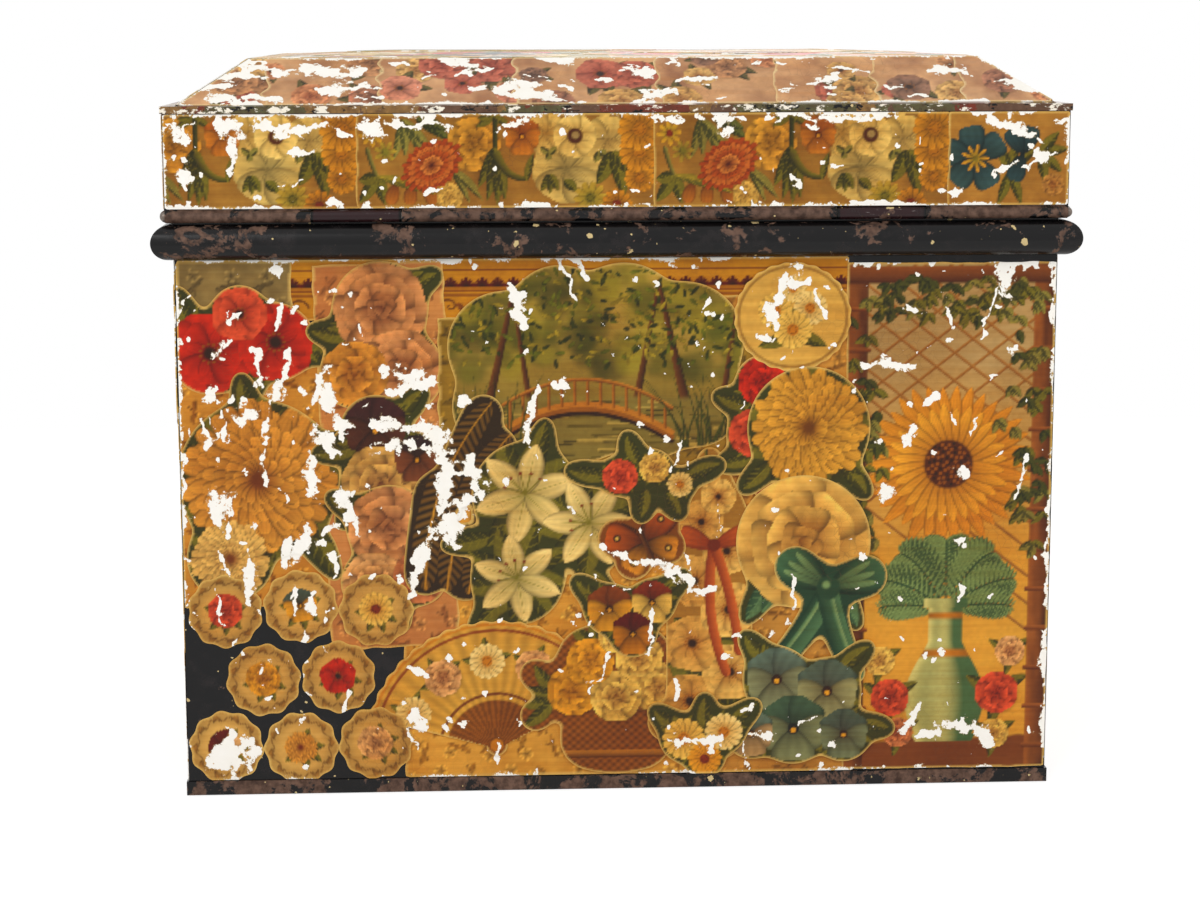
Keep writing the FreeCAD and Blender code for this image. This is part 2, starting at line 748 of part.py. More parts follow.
def lock_staple():
    """A plate inside the lid's front, with an arm over the neck and an eyed lug that drops into the lock."""
    body = new_body("lock_staple", front.turn)
    plate_outer = front.skirt - mm.tin_sheet
    plate_inner = plate_outer - mm.staple_plate
    arm_low = neck_top + mm.staple_clear
    half = mm.staple_width / 2
    sketch, thickness = upright_plate(body, "plate", plate_inner, plate_outer)
    rectangle(sketch, -half, half, arm_low, arm_low + mm.staple_height)
    for x, z, radius in rivet_holes(staple_spots):
        disc(sketch, x, z, radius)
    pad(body, sketch, thickness)
    arm, arm_length = upright_plate(body, "arm", lug_inner, plate_inner)
    rectangle(arm, -half, half, arm_low, arm_low + mm.staple_plate)
    pad(body, arm, arm_length)
    lug = sketch_on(body, "lug", "YZ_Plane")
    eye_half = mm.bolt_height / 2 + mm.eye_gap
    lug_low = bolt_height - eye_half - mm.lug_foot
    rectangle(lug, -lug_outer, -lug_inner, lug_low, arm_low)
    rectangle(lug, -(lug_outer - mm.lug_wall), -(lug_inner + mm.lug_wall),
              bolt_height - eye_half, bolt_height + eye_half)
    pad(body, lug, mm.lug_thickness, both_ways=True)


staple_rivet_height = neck_top + mm.staple_clear + mm.staple_plate + (mm.staple_height - mm.staple_plate) / 2
staple_spots = [(-mm.staple_rivet_spread, staple_rivet_height), (mm.staple_rivet_spread, staple_rivet_height)]


# Escutcheon and the cover that hangs over its keyhole

escutcheon_outer = half_depth + mm.lock_plate
cover_inner = escutcheon_outer + mm.cover_gap
cover_outer = cover_inner + mm.lock_plate


def escutcheon():
    body = new_body("escutcheon", front.turn)
    sketch, thickness = upright_plate(body, "outline", half_depth, escutcheon_outer)
    stadium(sketch, mm.escutcheon_radius, escutcheon_low, escutcheon_low + mm.escutcheon_length)
    disc(sketch, zero, cover_pin_height, mm.cover_pin_radius)
    disc(sketch, zero, escutcheon_pin_height, mm.rivet_radius)
    pad(body, sketch, thickness)
    keyhole(body)


def keyhole_cover():
    """A drop-shaped cover: a disc over the keyhole on a narrow neck from its pin."""
    body = new_body("keyhole_cover", front.turn)
    half_neck = mm.cover_neck / 2
    shapes = (
        ("disc", lambda sketch: disc(sketch, zero, keyhole_height, mm.cover_radius)),
        ("neck", lambda sketch: rectangle(sketch, -half_neck, half_neck, keyhole_height, cover_pin_height)),
        ("eye", lambda sketch: disc(sketch, zero, cover_pin_height, mm.cover_eye_radius)))
    for name, draw in shapes:
        sketch, thickness = upright_plate(body, name, cover_inner, cover_outer)
        draw(sketch)
        pad(body, sketch, thickness)
    hole = sketch_on(body, "hole", "XZ_Plane")
    disc(hole, zero, cover_pin_height, mm.cover_pin_radius + mm.bail_fit)
    pocket(body, hole)


# Handles: a riveted plate with two ears, and a wire bail that hangs in them

def handle_plate(side):
    body = new_body(f"{side.name}_handle_plate", side.turn)
    outer = side.face + mm.handle_plate_sheet
    half = mm.handle_plate_width / 2
    half_height = mm.handle_plate_height / 2
    sketch, thickness = upright_plate(body, "plate", side.face, outer)
    rectangle(sketch, -half, half, mm.handle_height - half_height, mm.handle_height + half_height)
    for x, z, radius in rivet_holes(handle_rivet_spots):
        disc(sketch, x, z, radius)
    pad(body, sketch, thickness)
    for name, centre in (("first_ear", -mm.ear_offset), ("second_ear", mm.ear_offset)):
        ear = sketch_on(body, name, "YZ_Plane", centre - mm.ear_width / 2)
        pivot = outer + mm.ear_reach
        d_outline(ear, outer, pivot, mm.handle_height - mm.ear_radius, mm.handle_height + mm.ear_radius)
        disc(ear, -pivot, mm.handle_height, mm.bail_radius + mm.bail_fit)
        pad(body, ear, mm.ear_width)


def handle_bail(side):
    """A bent wire: a stub in each ear, two legs and a grip, joined by quarter bends."""
    label = f"{side.name}_handle_bail"
    reach = side.face + mm.handle_plate_sheet + mm.ear_reach
    leg_x = mm.ear_offset + mm.ear_width / 2 + mm.bail_leg_gap + mm.pivot_bend
    stub_x = mm.ear_offset - mm.ear_width / 2 - mm.bail_stub
    grip_height = mm.handle_height - mm.bail_drop
    pieces = []

    def rod(name, axis, degrees, x, z, length):
        item = doc.addObject("Part::Cylinder", f"{label}_{name}")
        item.Placement = FreeCAD.Placement(FreeCAD.Vector(), turn_about(axis, degrees))
        bind(item, "Radius", mm.bail_radius)
        bind(item, "Height", length)
        place(item, x, z)

    def bend(name, degrees, x, z, radius):
        item = doc.addObject("Part::Torus", f"{label}_{name}")
        turned = turn_about((0, 1, 0), degrees) * turn_about((1, 0, 0), 90)
        item.Placement = FreeCAD.Placement(FreeCAD.Vector(), turned)
        item.Angle3 = 90
        bind(item, "Radius1", radius)
        bind(item, "Radius2", mm.bail_radius)
        place(item, x, z)

    def place(item, x, z):
        bind(item, "Placement.Base.x", x)
        bind(item, "Placement.Base.y", -reach)
        bind(item, "Placement.Base.z", z)
        pieces.append(item)

    grip_half = leg_x - mm.bail_bend
    leg_low = grip_height + mm.bail_bend
    leg_high = mm.handle_height - mm.pivot_bend
    rod("grip", (0, 1, 0), 90, -grip_half, grip_height, grip_half * 2)
    for name, sign, upper, lower in (("first", -1, 270, 180), ("second", 1, 0, 90)):
        rod(f"{name}_leg", (0, 0, 1), 0, leg_x * sign, leg_low, leg_high - leg_low)
        bend(f"{name}_low_bend", lower, grip_half * sign, leg_low, mm.bail_bend)
        bend(f"{name}_high_bend", upper, (leg_x - mm.pivot_bend) * sign, leg_high, mm.pivot_bend)
        stub_length = leg_x - mm.pivot_bend - stub_x
        rod(f"{name}_stub", (0, 1, 0), -90 * sign, (leg_x - mm.pivot_bend) * sign,
            mm.handle_height, stub_length)
    bail = doc.addObject("Part::MultiFuse", label)
    bail.Label = label
    bail.Shapes = pieces
    bail.Refine = True
    bail.Placement = FreeCAD.Placement(FreeCAD.Vector(), turn_about((0, 0, 1), side.turn))
    subparts.append(bail)


# The whole box

all_leaf_spots = leaf_spots["left"] + leaf_spots["right"]
front_holes = rivet_holes(lock_spots)
front_holes.append((zero, cover_pin_height, mm.cover_pin_radius))
front_holes.append((zero, escutcheon_pin_height, mm.rivet_radius))
wall_plate("back_wall", back, half_width, rivet_holes(all_leaf_spots))
wall_plate("front_wall", front, half_width, front_holes, cut_keyhole=True)
base_plate()
for side in sides:
    base_rim(side)
    roll_moulding(side)
    lid_slope(side)
for side in (left, right):
    end_wall(side)
    handle_plate(side)
    handle_bail(side)
    rivet_group(f"{side.name}_handle_rivets", side, handle_rivet_spots,
                side.face - mm.tin_sheet, side.face + mm.handle_plate_sheet)
hinge_leaf("left", -mm.knuckle_offset)
hinge_leaf("right", mm.knuckle_offset)
rivet_group("hinge_rivets", back, all_leaf_spots, back.face - mm.tin_sheet, back.face + mm.tin_sheet)
hinge_rod()
back_skirt()
front_skirt()
end_skirt(left, 1)
end_skirt(right, -1)
edge_wire()
top_panel()
lock_case()
lock_cover()
guide_pins()
lock_bolt()
rivet_group("lock_rivets", front, lock_spots, lock_back - mm.lock_plate, half_depth)
lock_staple()
rivet_group("staple_rivets", front, staple_spots,
            front.skirt - mm.tin_sheet - mm.staple_plate, front.skirt)
escutcheon()
keyhole_cover()
single_rivet("keyhole_cover_pin", front, zero, cover_pin_height, lock_back, cover_outer + mm.cover_gap,
             mm.cover_pin_radius, mm.cover_pin_head)
single_rivet("escutcheon_pin", front, zero, escutcheon_pin_height, lock_back, escutcheon_outer,
             mm.rivet_radius, mm.rivet_head_radius)

# Build, test and write

doc.recompute()
failed = [item.Name for item in doc.Objects if {"Invalid", "Error"} & set(item.State)]
if failed:
    raise RuntimeError(f"These objects failed: {failed}")
for subpart in subparts:
    if subpart.Shape.isNull() or not subpart.Shape.isValid():
        raise RuntimeError(f"{subpart.Label} has no valid shape")

os.makedirs("parts", exist_ok=True)
for subpart in subparts:
    subpart.Shape.exportStep(f"parts/{subpart.Label}.step")
print(len(subparts), "sub-parts written")
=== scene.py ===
# %% [markdown]
# # Dressing a papered tin box
# The real object is a tin box for papers and keepsakes. Its maker covered the tin with black japan, and a later
# owner pasted printed paper scraps all over it and varnished them. The varnish has turned amber, and the paper
# is scraped and flaking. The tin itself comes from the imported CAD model. Blender adds the paper, the varnish,
# the rust and the wear.

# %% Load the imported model
import json
import math
import bpy
import numpy as np
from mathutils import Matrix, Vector


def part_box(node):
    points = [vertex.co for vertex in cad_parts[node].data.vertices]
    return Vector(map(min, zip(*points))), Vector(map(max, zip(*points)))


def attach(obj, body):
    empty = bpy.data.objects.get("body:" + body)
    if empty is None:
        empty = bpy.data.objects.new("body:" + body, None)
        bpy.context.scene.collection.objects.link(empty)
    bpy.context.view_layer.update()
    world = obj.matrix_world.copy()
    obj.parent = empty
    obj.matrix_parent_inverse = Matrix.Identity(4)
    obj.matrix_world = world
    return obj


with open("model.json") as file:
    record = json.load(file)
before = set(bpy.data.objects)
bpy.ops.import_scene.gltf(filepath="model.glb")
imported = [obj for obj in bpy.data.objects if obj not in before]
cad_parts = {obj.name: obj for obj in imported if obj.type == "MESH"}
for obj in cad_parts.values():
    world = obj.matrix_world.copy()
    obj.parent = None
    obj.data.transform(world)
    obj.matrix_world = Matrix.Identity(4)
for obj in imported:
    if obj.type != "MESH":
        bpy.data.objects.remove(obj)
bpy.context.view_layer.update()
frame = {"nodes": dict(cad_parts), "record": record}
nodes = frame["nodes"]
scene = bpy.context.scene
MM = 0.001

# %% [markdown]
# ## Camera
# The photograph looks at the hinged back, a little from the left and from above the lid. The edges of the box
# gave the camera's place: a long lens, 9 degrees down. A long lens keeps the upright edges nearly parallel.

# %% Camera
CAMERA_PLACE = (-0.0695, -1.3349, 0.3564)
CAMERA_TURN = (80.76, 0.12, -2.92)
bpy.ops.object.select_all(action="DESELECT")
bpy.ops.object.camera_add(location=CAMERA_PLACE, rotation=[math.radians(turn) for turn in CAMERA_TURN])
camera = bpy.context.object
camera.data.sensor_width = 36.0
camera.data.lens = 78.0
scene.camera = camera
scene.view_settings.view_transform = "Standard"
print("camera at", [round(v, 3) for v in camera.location])


# %% [markdown]
# ## Small helpers for nodes
# Every material is a tree of nodes. These helpers add a node with its settings and give back the socket that is
# wanted, so that the trees below read as short sums. A node group is a small tree that several materials share.

# %% Helpers for nodes
def fill(tree, sockets, values):
    """Links each socket to its value where that is a socket too, and sets it to any other value."""
    for key, value in values.items():
        if isinstance(value, bpy.types.NodeSocket):
            tree.links.new(value, sockets[key])
        else:
            sockets[key].default_value = value


def add(tree, kind, inputs=None, **settings):
    made = tree.nodes.new("ShaderNode" + kind)
    for key, value in settings.items():
        setattr(made, key, value)
    fill(tree, made.inputs, inputs or {})
    return made


def maths(tree, operation, first, second=0.5):
    return add(tree, "Math", {0: first, 1: second}, operation=operation).outputs[0]


def plus(tree, first, second):
    return maths(tree, "ADD", first, second)


def minus(tree, first, second):
    return maths(tree, "SUBTRACT", first, second)


def times(tree, first, second):
    return maths(tree, "MULTIPLY", first, second)


def vectors(tree, operation, first, second):
    return add(tree, "VectorMath", {0: first, 1: second}, operation=operation).outputs[0]


def ramp(tree, value, low, high, to_low=0.0, to_high=1.0):
    """Follows a value from low to high, and stays at the ends outside that."""
    keys = {"Value": value, "From Min": low, "From Max": high, "To Min": to_low, "To Max": to_high}
    return add(tree, "MapRange", keys).outputs[0]


def mixed(tree, factor, first, second, blend="MIX"):
    made = add(tree, "Mix", {0: factor, 6: first, 7: second}, data_type="RGBA", blend_type=blend)
    return made.outputs[2]


def object_place(tree, scale=(1.0, 1.0, 1.0)):
    """Object coordinates, stretched by scale along each axis."""
    return vectors(tree, "MULTIPLY", add(tree, "TexCoord").outputs["Object"], scale)


def axis(tree, output, name):
    """One part of the object coordinates or of the normal."""
    return add(tree, "SeparateXYZ", {0: add(tree, "TexCoord").outputs[output]}).outputs[name]


def noise(tree, vector, scale, detail=4.0, rough=0.55, lumps=0.0):
    keys = {"Vector": vector, "Scale": scale, "Detail": detail, "Roughness": rough, "Distortion": lumps}
    return add(tree, "TexNoise", keys).outputs[0]


def wobble(tree, place, scale, detail, rough, reach):
    """Pushes a place aside by a noise of up to reach, which makes straight edges ragged."""
    shift = add(tree, "TexNoise", {"Vector": place, "Scale": scale, "Detail": detail, "Roughness": rough})
    return vectors(tree, "ADD", place, vectors(tree, "MULTIPLY", shift.outputs["Color"], (reach, reach, reach)))


def cells(tree, place, scale):
    """Scattered cells: the distance from a cell's middle, and three random values for each cell."""
    made = add(tree, "TexVoronoi", {"Vector": place, "Scale": scale}).outputs
    return made["Distance"], add(tree, "SeparateColor", {0: made["Color"]}).outputs


def new_group(name, inputs, outputs):
    tree = bpy.data.node_groups.new(name, "ShaderNodeTree")
    for label, kind, value in inputs:
        socket = tree.interface.new_socket(label, in_out="INPUT", socket_type="NodeSocket" + kind)
        socket.default_value = value
    for label, kind in outputs:
        tree.interface.new_socket(label, in_out="OUTPUT", socket_type="NodeSocket" + kind)
    return tree, tree.nodes.new("NodeGroupInput").outputs, tree.nodes.new("NodeGroupOutput").inputs


def ink(code):
    """A print colour from its hex code, as linear light."""
    code = np.array([int(code[i:i + 2], 16) for i in (0, 2, 4)]) / 255
    return np.where(code <= 0.04045, code / 12.92, ((code + 0.055) / 1.055) ** 2.4)


def paint(code):
    return (*ink(code), 1.0)


print("node helpers ready")


# %% [markdown]
# ## Light and floor
# The photograph is a studio picture on white. The world gives even light and is white to the camera. Two large
# lamps, to the left and right in front of the photographed side, add the soft sheen on the varnish, and a third
# lights the far side. The floor is pale and keeps a faint shadow: it is partly a light of its own, but only for
# the camera and in reflections.

# %% World, lamps and floor
WHITE = (1.0, 1.0, 1.0, 1.0)
FLOOR_DROP = 0.4 * MM
# Each lamp: its place, the height that it aims at, its size and its power.
LAMPS = {"key": ((-1.1, -1.6, 1.5), 0.15, 1.3, 22.0), "fill": ((1.5, -1.2, 0.9), 0.15, 1.2, 9.0),
         "back": ((0.5, 1.7, 1.3), 0.2, 1.2, 9.0)}


def seen_rays(tree):
    """1 for what the camera sees, straight, in a reflection or through glass, and 0 for light on its way."""
    path = add(tree, "LightPath").outputs
    mirrored = maths(tree, "MAXIMUM", path["Is Glossy Ray"], path["Is Transmission Ray"])
    return maths(tree, "MAXIMUM", path["Is Camera Ray"], mirrored)


world = bpy.data.worlds.new("studio")
world.use_nodes = True
scene.world = world
tree = world.node_tree
tree.nodes.clear()
ambient = add(tree, "Background", {"Color": (1.0, 0.99, 0.97, 1.0), "Strength": 0.55})
white = add(tree, "Background", {"Color": WHITE, "Strength": 1.0})
both = add(tree, "MixShader", {0: seen_rays(tree), 1: ambient.outputs[0], 2: white.outputs[0]})
add(tree, "OutputWorld", {"Surface": both.outputs[0]})

for name, (place, aim_height, size, power) in LAMPS.items():
    bpy.ops.object.select_all(action="DESELECT")
    bpy.ops.object.light_add(type="AREA", location=place)
    lamp = bpy.context.object
    lamp.name = "lamp_" + name
    lamp.data.size = size
    lamp.data.energy = power
    way = lamp.location - Vector((0.0, 0.0, aim_height))
    lamp.rotation_euler = way.to_track_quat("Z", "Y").to_euler()

bpy.ops.object.select_all(action="DESELECT")
bpy.ops.mesh.primitive_plane_add(size=2.0, location=(0.0, 0.0, -FLOOR_DROP))
floor = bpy.context.object
floor.name = "floor"
bpy.ops.object.transform_apply(location=True, rotation=False, scale=False)
floor_paint = bpy.data.materials.new("pale_floor")
floor_paint.use_nodes = True
tree = floor_paint.node_tree
tree.nodes.clear()
matt = add(tree, "BsdfDiffuse", {"Color": (0.86, 0.86, 0.86, 1.0)})
glow = add(tree, "Emission", {"Color": WHITE, "Strength": 1.62})
share = times(tree, seen_rays(tree), 0.45)
both = add(tree, "MixShader", {0: share, 1: matt.outputs[0], 2: glow.outputs[0]})
add(tree, "OutputMaterial", {"Surface": both.outputs[0]})
floor.data.materials.append(floor_paint)
print("world,", len(LAMPS), "lamps and a floor")


# %% [markdown]
# ## Effects that the materials share
# The varnish was brushed on sideways, so it lies in fine level streaks that are lighter and darker amber. Under
# it the print is crazed with hair cracks. The group takes the print's colour and gives it back varnished, with
# a roughness and a height for the bump.

# %% Varnish film
LEVEL, FLAT = (14.0, 14.0, 480.0), (14.0, 480.0, 480.0)
film, given, made = new_group(
    "varnish_film",
    [("Ink", "Color", (0.8, 0.7, 0.5, 1.0)), ("Thin", "Color", (1.0, 0.95, 0.82, 1.0)),
     ("Thick", "Color", (0.8, 0.55, 0.24, 1.0)), ("Streak Scale", "Vector", LEVEL)],
    [("Color", "Color"), ("Roughness", "Float"), ("Height", "Float")])
place = add(film, "TexCoord").outputs["Object"]
streak = noise(film, vectors(film, "MULTIPLY", place, given["Streak Scale"]), 1.0, 3.0, 0.65)
patch = noise(film, place, 21.0, 3.0, 0.5)
crazing = add(film, "TexVoronoi", {"Vector": place, "Scale": 230.0}, feature="DISTANCE_TO_EDGE")
crack = ramp(film, crazing.outputs["Distance"], 0.0, 0.035, 1.0, 0.0)
depth = plus(film, times(film, streak, 0.55), times(film, patch, 0.75))
tint = mixed(film, ramp(film, depth, 0.4, 0.95), given["Thin"], given["Thick"])
warm = mixed(film, 1.0, given["Ink"], tint, "MULTIPLY")
lines = times(film, crack, ramp(film, patch, 0.45, 0.7, 0.0, 0.4))
fill(film, made, {"Color": mixed(film, lines, warm, (0.10, 0.05, 0.02, 1.0)),
                  "Roughness": ramp(film, streak, 0.25, 0.75, 0.27, 0.46),
                  "Height": minus(film, times(film, streak, 0.6), crack)})
print("varnish film:", len(film.nodes), "nodes")

# %% [markdown]
# Where the paper is scraped off, a chalky white ground shows. Each scrap carries a wear value at its points, 1
# in the middle of a scrape and below 0 outside. The group makes the edge of that value ragged with noise, and
# adds small specks, more of them near the scrapes.

# %% Flaked loss
loss, given, made = new_group(
    "flaked_loss", [("Wear", "Float", 0.0), ("Specks", "Float", 0.5)], [("Mask", "Float"), ("Torn", "Float")])
place = add(loss, "TexCoord").outputs["Object"]
grain = minus(loss, noise(loss, place, 620.0, 6.0, 0.7), 0.5)
lumps = minus(loss, noise(loss, place, 190.0, 3.0, 0.6), 0.5)
level = plus(loss, given["Wear"], plus(loss, times(loss, grain, 2.7), times(loss, lumps, 2.4)))
scraped = ramp(loss, level, 0.0, 0.07)
far, chance = cells(loss, wobble(loss, place, 520.0, 4.0, 0.5, 0.005), 170.0)
spread = plus(loss, given["Specks"], times(loss, given["Wear"], 0.3))
size = times(loss, ramp(loss, chance[0], 0.68, 1.0), spread)
speck = ramp(loss, minus(loss, size, far), 0.0, 0.03)
fill(loss, made, {"Mask": maths(loss, "MAXIMUM", scraped, speck), "Torn": ramp(loss, level, -0.22, 0.0)})
print("flaked loss:", len(loss.nodes), "nodes")

# %% [markdown]
# Black japan is a baked tar varnish. Here it is glossy where it is whole, dull brown where rust lifts it, and
# it has a few pale flecks of dried paste. Dark grey patches where it is rubbed thin also stand in for a painted
# sheen. The group gives a colour, a roughness and a height.

# %% Rusty japan
japan, given, made = new_group(
    "rusty_japan",
    [("Rust", "Float", 0.5), ("Flecks", "Float", 0.3), ("Body", "Color", (0.003, 0.003, 0.003, 1.0))],
    [("Color", "Color"), ("Roughness", "Float"), ("Height", "Float")])
place = add(japan, "TexCoord").outputs["Object"]
broad = noise(japan, place, 62.0, 7.0, 0.66, 0.5)
fine = noise(japan, place, 260.0, 4.0, 0.6)
ripple = minus(japan, fine, 0.5)
lift = plus(japan, broad, times(japan, ripple, 0.22))
start = ramp(japan, given["Rust"], 0.0, 1.0, 0.78, 0.38)
rust = ramp(japan, minus(japan, lift, start), 0.0, 0.035)
# Dark grey patches where the japan is rubbed thin: partly wear and partly a painted sheen.
rub_and_sheen = ramp(japan, noise(japan, place, 70.0, 5.0, 0.7), 0.52, 0.75)
black = mixed(japan, rub_and_sheen, given["Body"], paint("221D1D"))
brown = mixed(japan, ramp(japan, fine, 0.35, 0.65), paint("3E2A20"), paint("75594A"))
coat = mixed(japan, times(japan, rust, 0.85), black, brown)
far, chance = cells(japan, place, 210.0)
size = times(japan, ramp(japan, chance[0], 0.93, 1.0), given["Flecks"])
fleck = ramp(japan, minus(japan, size, plus(japan, far, times(japan, ripple, 1.2))), 0.0, 0.04)
dull = ramp(japan, rust, 0.0, 1.0, 0.22, 0.62)
fill(japan, made, {"Color": mixed(japan, fleck, coat, paint("CDB682")),
                   "Roughness": plus(japan, dull, times(japan, rub_and_sheen, 0.16)),
                   "Height": minus(japan, times(japan, fine, 0.3), rust)})
print("rusty japan:", len(japan.nodes), "nodes")


# %% [markdown]
# ## Materials
# Shaders stay in the material itself, with the groups feeding them. The printed paper reads two attributes of
# its scrap: the ink and the wear.

# %% Printed paper
SPECKS = 0.56
AMBER = ((1.0, 0.78, 0.34, 1.0), (0.67, 0.37, 0.08, 1.0))
HONEY = ((1.0, 0.97, 0.86, 1.0), (0.92, 0.72, 0.45, 1.0))


def start_material(name):
    """A new material, its tree and its shader's sockets."""
    made = bpy.data.materials.new(name)
    made.use_nodes = True
    return made, made.node_tree, made.node_tree.nodes["Principled BSDF"].inputs


def use_group(tree, group, **inputs):
    return add(tree, "Group", inputs, node_tree=group).outputs


def bump(tree, height, strength, distance):
    return add(tree, "Bump", {"Height": height, "Strength": strength, "Distance": distance}).outputs[0]


def printed_paper(name, streaks, thin, thick):
    made, tree, shader = start_material(name)
    print_ink = add(tree, "Attribute", attribute_name="ink").outputs["Color"]
    wear = add(tree, "Attribute", attribute_name="wear").outputs["Fac"]
    varnish = use_group(tree, film, **{"Ink": print_ink, "Thin": thin, "Thick": thick, "Streak Scale": streaks})
    flaked = use_group(tree, loss, Wear=wear, Specks=SPECKS)
    bare = flaked["Mask"]
    torn = mixed(tree, times(tree, flaked["Torn"], 0.45), varnish["Color"], paint("D8BC8A"))
    chalk = mixed(tree, noise(tree, object_place(tree), 130.0), paint("F6F1E6"), paint("FFFDF8"))
    waves = noise(tree, object_place(tree), 40.0, 2.0)
    height = plus(tree, times(tree, varnish["Height"], 0.12), times(tree, waves, 0.8))
    fill(tree, shader, {
        "Base Color": mixed(tree, bare, torn, chalk),
        "Roughness": plus(tree, varnish["Roughness"], ramp(tree, bare, 0.0, 1.0, 0.0, 0.45)),
        "Coat Weight": ramp(tree, bare, 0.0, 1.0, 0.08, 0.0),
        "Coat Roughness": 0.18, "Specular IOR Level": 0.2,
        "Normal": bump(tree, minus(tree, height, times(tree, bare, 0.5)), 0.35, 0.6 * MM)})
    return made


wall_print = printed_paper("varnished_print", LEVEL, *AMBER)
slope_print = printed_paper("varnished_print_slope", LEVEL, *HONEY)
top_print = printed_paper("varnished_print_top", FLAT, *HONEY)
print("printed paper:", len(wall_print.node_tree.nodes), "nodes")


# %% [markdown]
# The tin itself needs a skin on both sides. A sheet is one CAD solid, so the material finds its outer side by
# place: a wall's outside is black japan, the inside is tinplate that has greyed under a thin brown lacquer. The
# lid's sloping sheets find theirs by the normal, which points up on the outside, and the base plate by the
# normal that points down.

# %% Tin and japan
def tinplate(tree):
    """Greyed tinplate: its colour and its roughness."""
    place = object_place(tree)
    cloudy = ramp(tree, noise(tree, place, 26.0, 6.0, 0.6), 0.35, 0.7)
    grey = mixed(tree, cloudy, paint("8D8474"), paint("6A5A45"))
    freckle = ramp(tree, noise(tree, place, 330.0, 5.0, 0.7), 0.63, 0.7)
    return mixed(tree, freckle, grey, paint("5B3A22")), ramp(tree, cloudy, 0.0, 1.0, 0.34, 0.52)


def japanned_sheet(name, rust, flecks, outside=None, skin=None, body="0B0A0B"):
    """Japan or another skin, all over or where outside says so, with tinplate on the sheet's other side."""
    made, tree, shader = start_material(name)
    front = use_group(tree, japan, Rust=rust, Flecks=flecks, Body=paint(body))
    colour, rough = front["Color"], front["Roughness"]
    if skin:
        colour = skin(tree, colour)
    if outside:
        mask = outside(tree)
        back_colour, back_rough = tinplate(tree)
        colour = mixed(tree, mask, back_colour, colour)
        rough = add(tree, "Mix", {0: mask, 2: back_rough, 3: rough}).outputs[0]
        fill(tree, shader, {"Metallic": ramp(tree, mask, 0.0, 1.0, 0.75, 0.0)})
    fill(tree, shader, {"Base Color": colour, "Roughness": rough, "Specular IOR Level": 0.25,
                        "Normal": bump(tree, front["Height"], 0.4, 0.3 * MM)})
    return made


def past_walls(reach_x, reach_y):
    """Says where a point lies at the outside of walls that stand at these reaches."""
    def outside(tree):
        past = [maths(tree, "GREATER_THAN", maths(tree, "ABSOLUTE", axis(tree, "Object", name)), reach)
                for name, reach in (("X", reach_x), ("Y", reach_y))]
        return maths(tree, "MAXIMUM", *past)
    return outside


def upwards(tree):
    return maths(tree, "GREATER_THAN", axis(tree, "Normal", "Z"), -0.2)


def downwards(tree):
    return maths(tree, "LESS_THAN", axis(tree, "Normal", "Z"), 0.2)


def rim_scraps(tree, japan_colour):
    """The lid's narrow rim is covered with torn cuttings of many colours, chipped to white or to the japan."""
    pick = cells(tree, wobble(tree, object_place(tree, (1.0, 1.0, 0.5)), 90.0, 5.0, 0.65, 0.03), 46.0)[1]
    cutting = mixed(tree, ramp(tree, pick[0], 0.4, 0.45), paint("7C3222"), paint("9A7440"))
    cutting = mixed(tree, ramp(tree, pick[1], 0.66, 0.7), cutting, paint("5C5C3A"))
    cutting = mixed(tree, ramp(tree, pick[2], 0.6, 0.64), cutting, paint("6A4E3C"))
    dirt = ramp(tree, noise(tree, object_place(tree), 240.0, 5.0, 0.7), 0.3, 0.7, 0.0, 0.8)
    grimy = mixed(tree, dirt, cutting, paint("4A3020"))
    bare = ramp(tree, noise(tree, object_place(tree, (1.0, 1.0, 2.0)), 130.0, 5.0, 0.7), 0.57, 0.6)
    chips = ramp(tree, noise(tree, object_place(tree, (1.0, 1.0, 1.6)), 110.0, 6.0, 0.7), 0.56, 0.59)
    return mixed(tree, chips, mixed(tree, bare, grimy, japan_colour), paint("F3EBDA"))


def scuffed_leaf_with_painted_light(tree, japan_colour):
    """The hinge's knuckles: light scuffs along them, partly painted highlights, and painted shade in the seams at
    their ends.
    """
    low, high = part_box("hinge_leaf_right")
    middle, half = abs(low.x + high.x) / 2, (high.x - low.x) / 2
    across = maths(tree, "ABSOLUTE", axis(tree, "Object", "X"))
    from_middle = maths(tree, "ABSOLUTE", minus(tree, across, middle))
    # Painted shade darkens the knuckles' ends, where the seams are.
    seam_shade = ramp(tree, from_middle, half - 1.6 * MM, half - 0.8 * MM)
    # Light grey scuffs along the knuckles: partly wear and partly painted highlights.
    scuff_and_highlight = ramp(tree, noise(tree, object_place(tree, (90.0, 420.0, 420.0)), 1.0, 5.0, 0.65), 0.62, 0.68)
    return mixed(tree, seam_shade, mixed(tree, scuff_and_highlight, japan_colour, paint("8E8684")), paint("060505"))


BEAD_PROUD = 2.4 * MM
SKIN = 0.1 * MM
wall_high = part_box("front_wall")[1]
wall_x, wall_y = wall_high.x, wall_high.y
skirt_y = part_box("lid_skirt_front")[1].y - BEAD_PROUD
skirt_x = skirt_y + wall_x - wall_y
wall_sheet = japanned_sheet("wall_sheet", 0.3, 0.3, past_walls(wall_x - SKIN, wall_y - SKIN))
skirt_sheet = japanned_sheet("skirt_sheet", 0.86, 0.34, past_walls(skirt_x - SKIN, skirt_y - SKIN))
slope_sheet = japanned_sheet("slope_sheet", 0.3, 0.3, upwards, rim_scraps)
top_sheet = japanned_sheet("top_sheet", 0.3, 0.3, upwards)
base_sheet = japanned_sheet("base_sheet", 0.6, 0.3, downwards)
black_japan = japanned_sheet("black_japan", 0.5, 0.5)
rubbed_japan = japanned_sheet("rubbed_japan", 0.78, 0.34)
hinge_japan = japanned_sheet("hinge_japan", 0.42, 0.3, skin=scuffed_leaf_with_painted_light, body="2A1517")
print("skirt's outside at", round(skirt_y / MM, 2), "mm")


# %% [markdown]
# The handles, lock and rivets are iron and brass. Both are stained and finely scratched, so one function makes
# both from their colours.

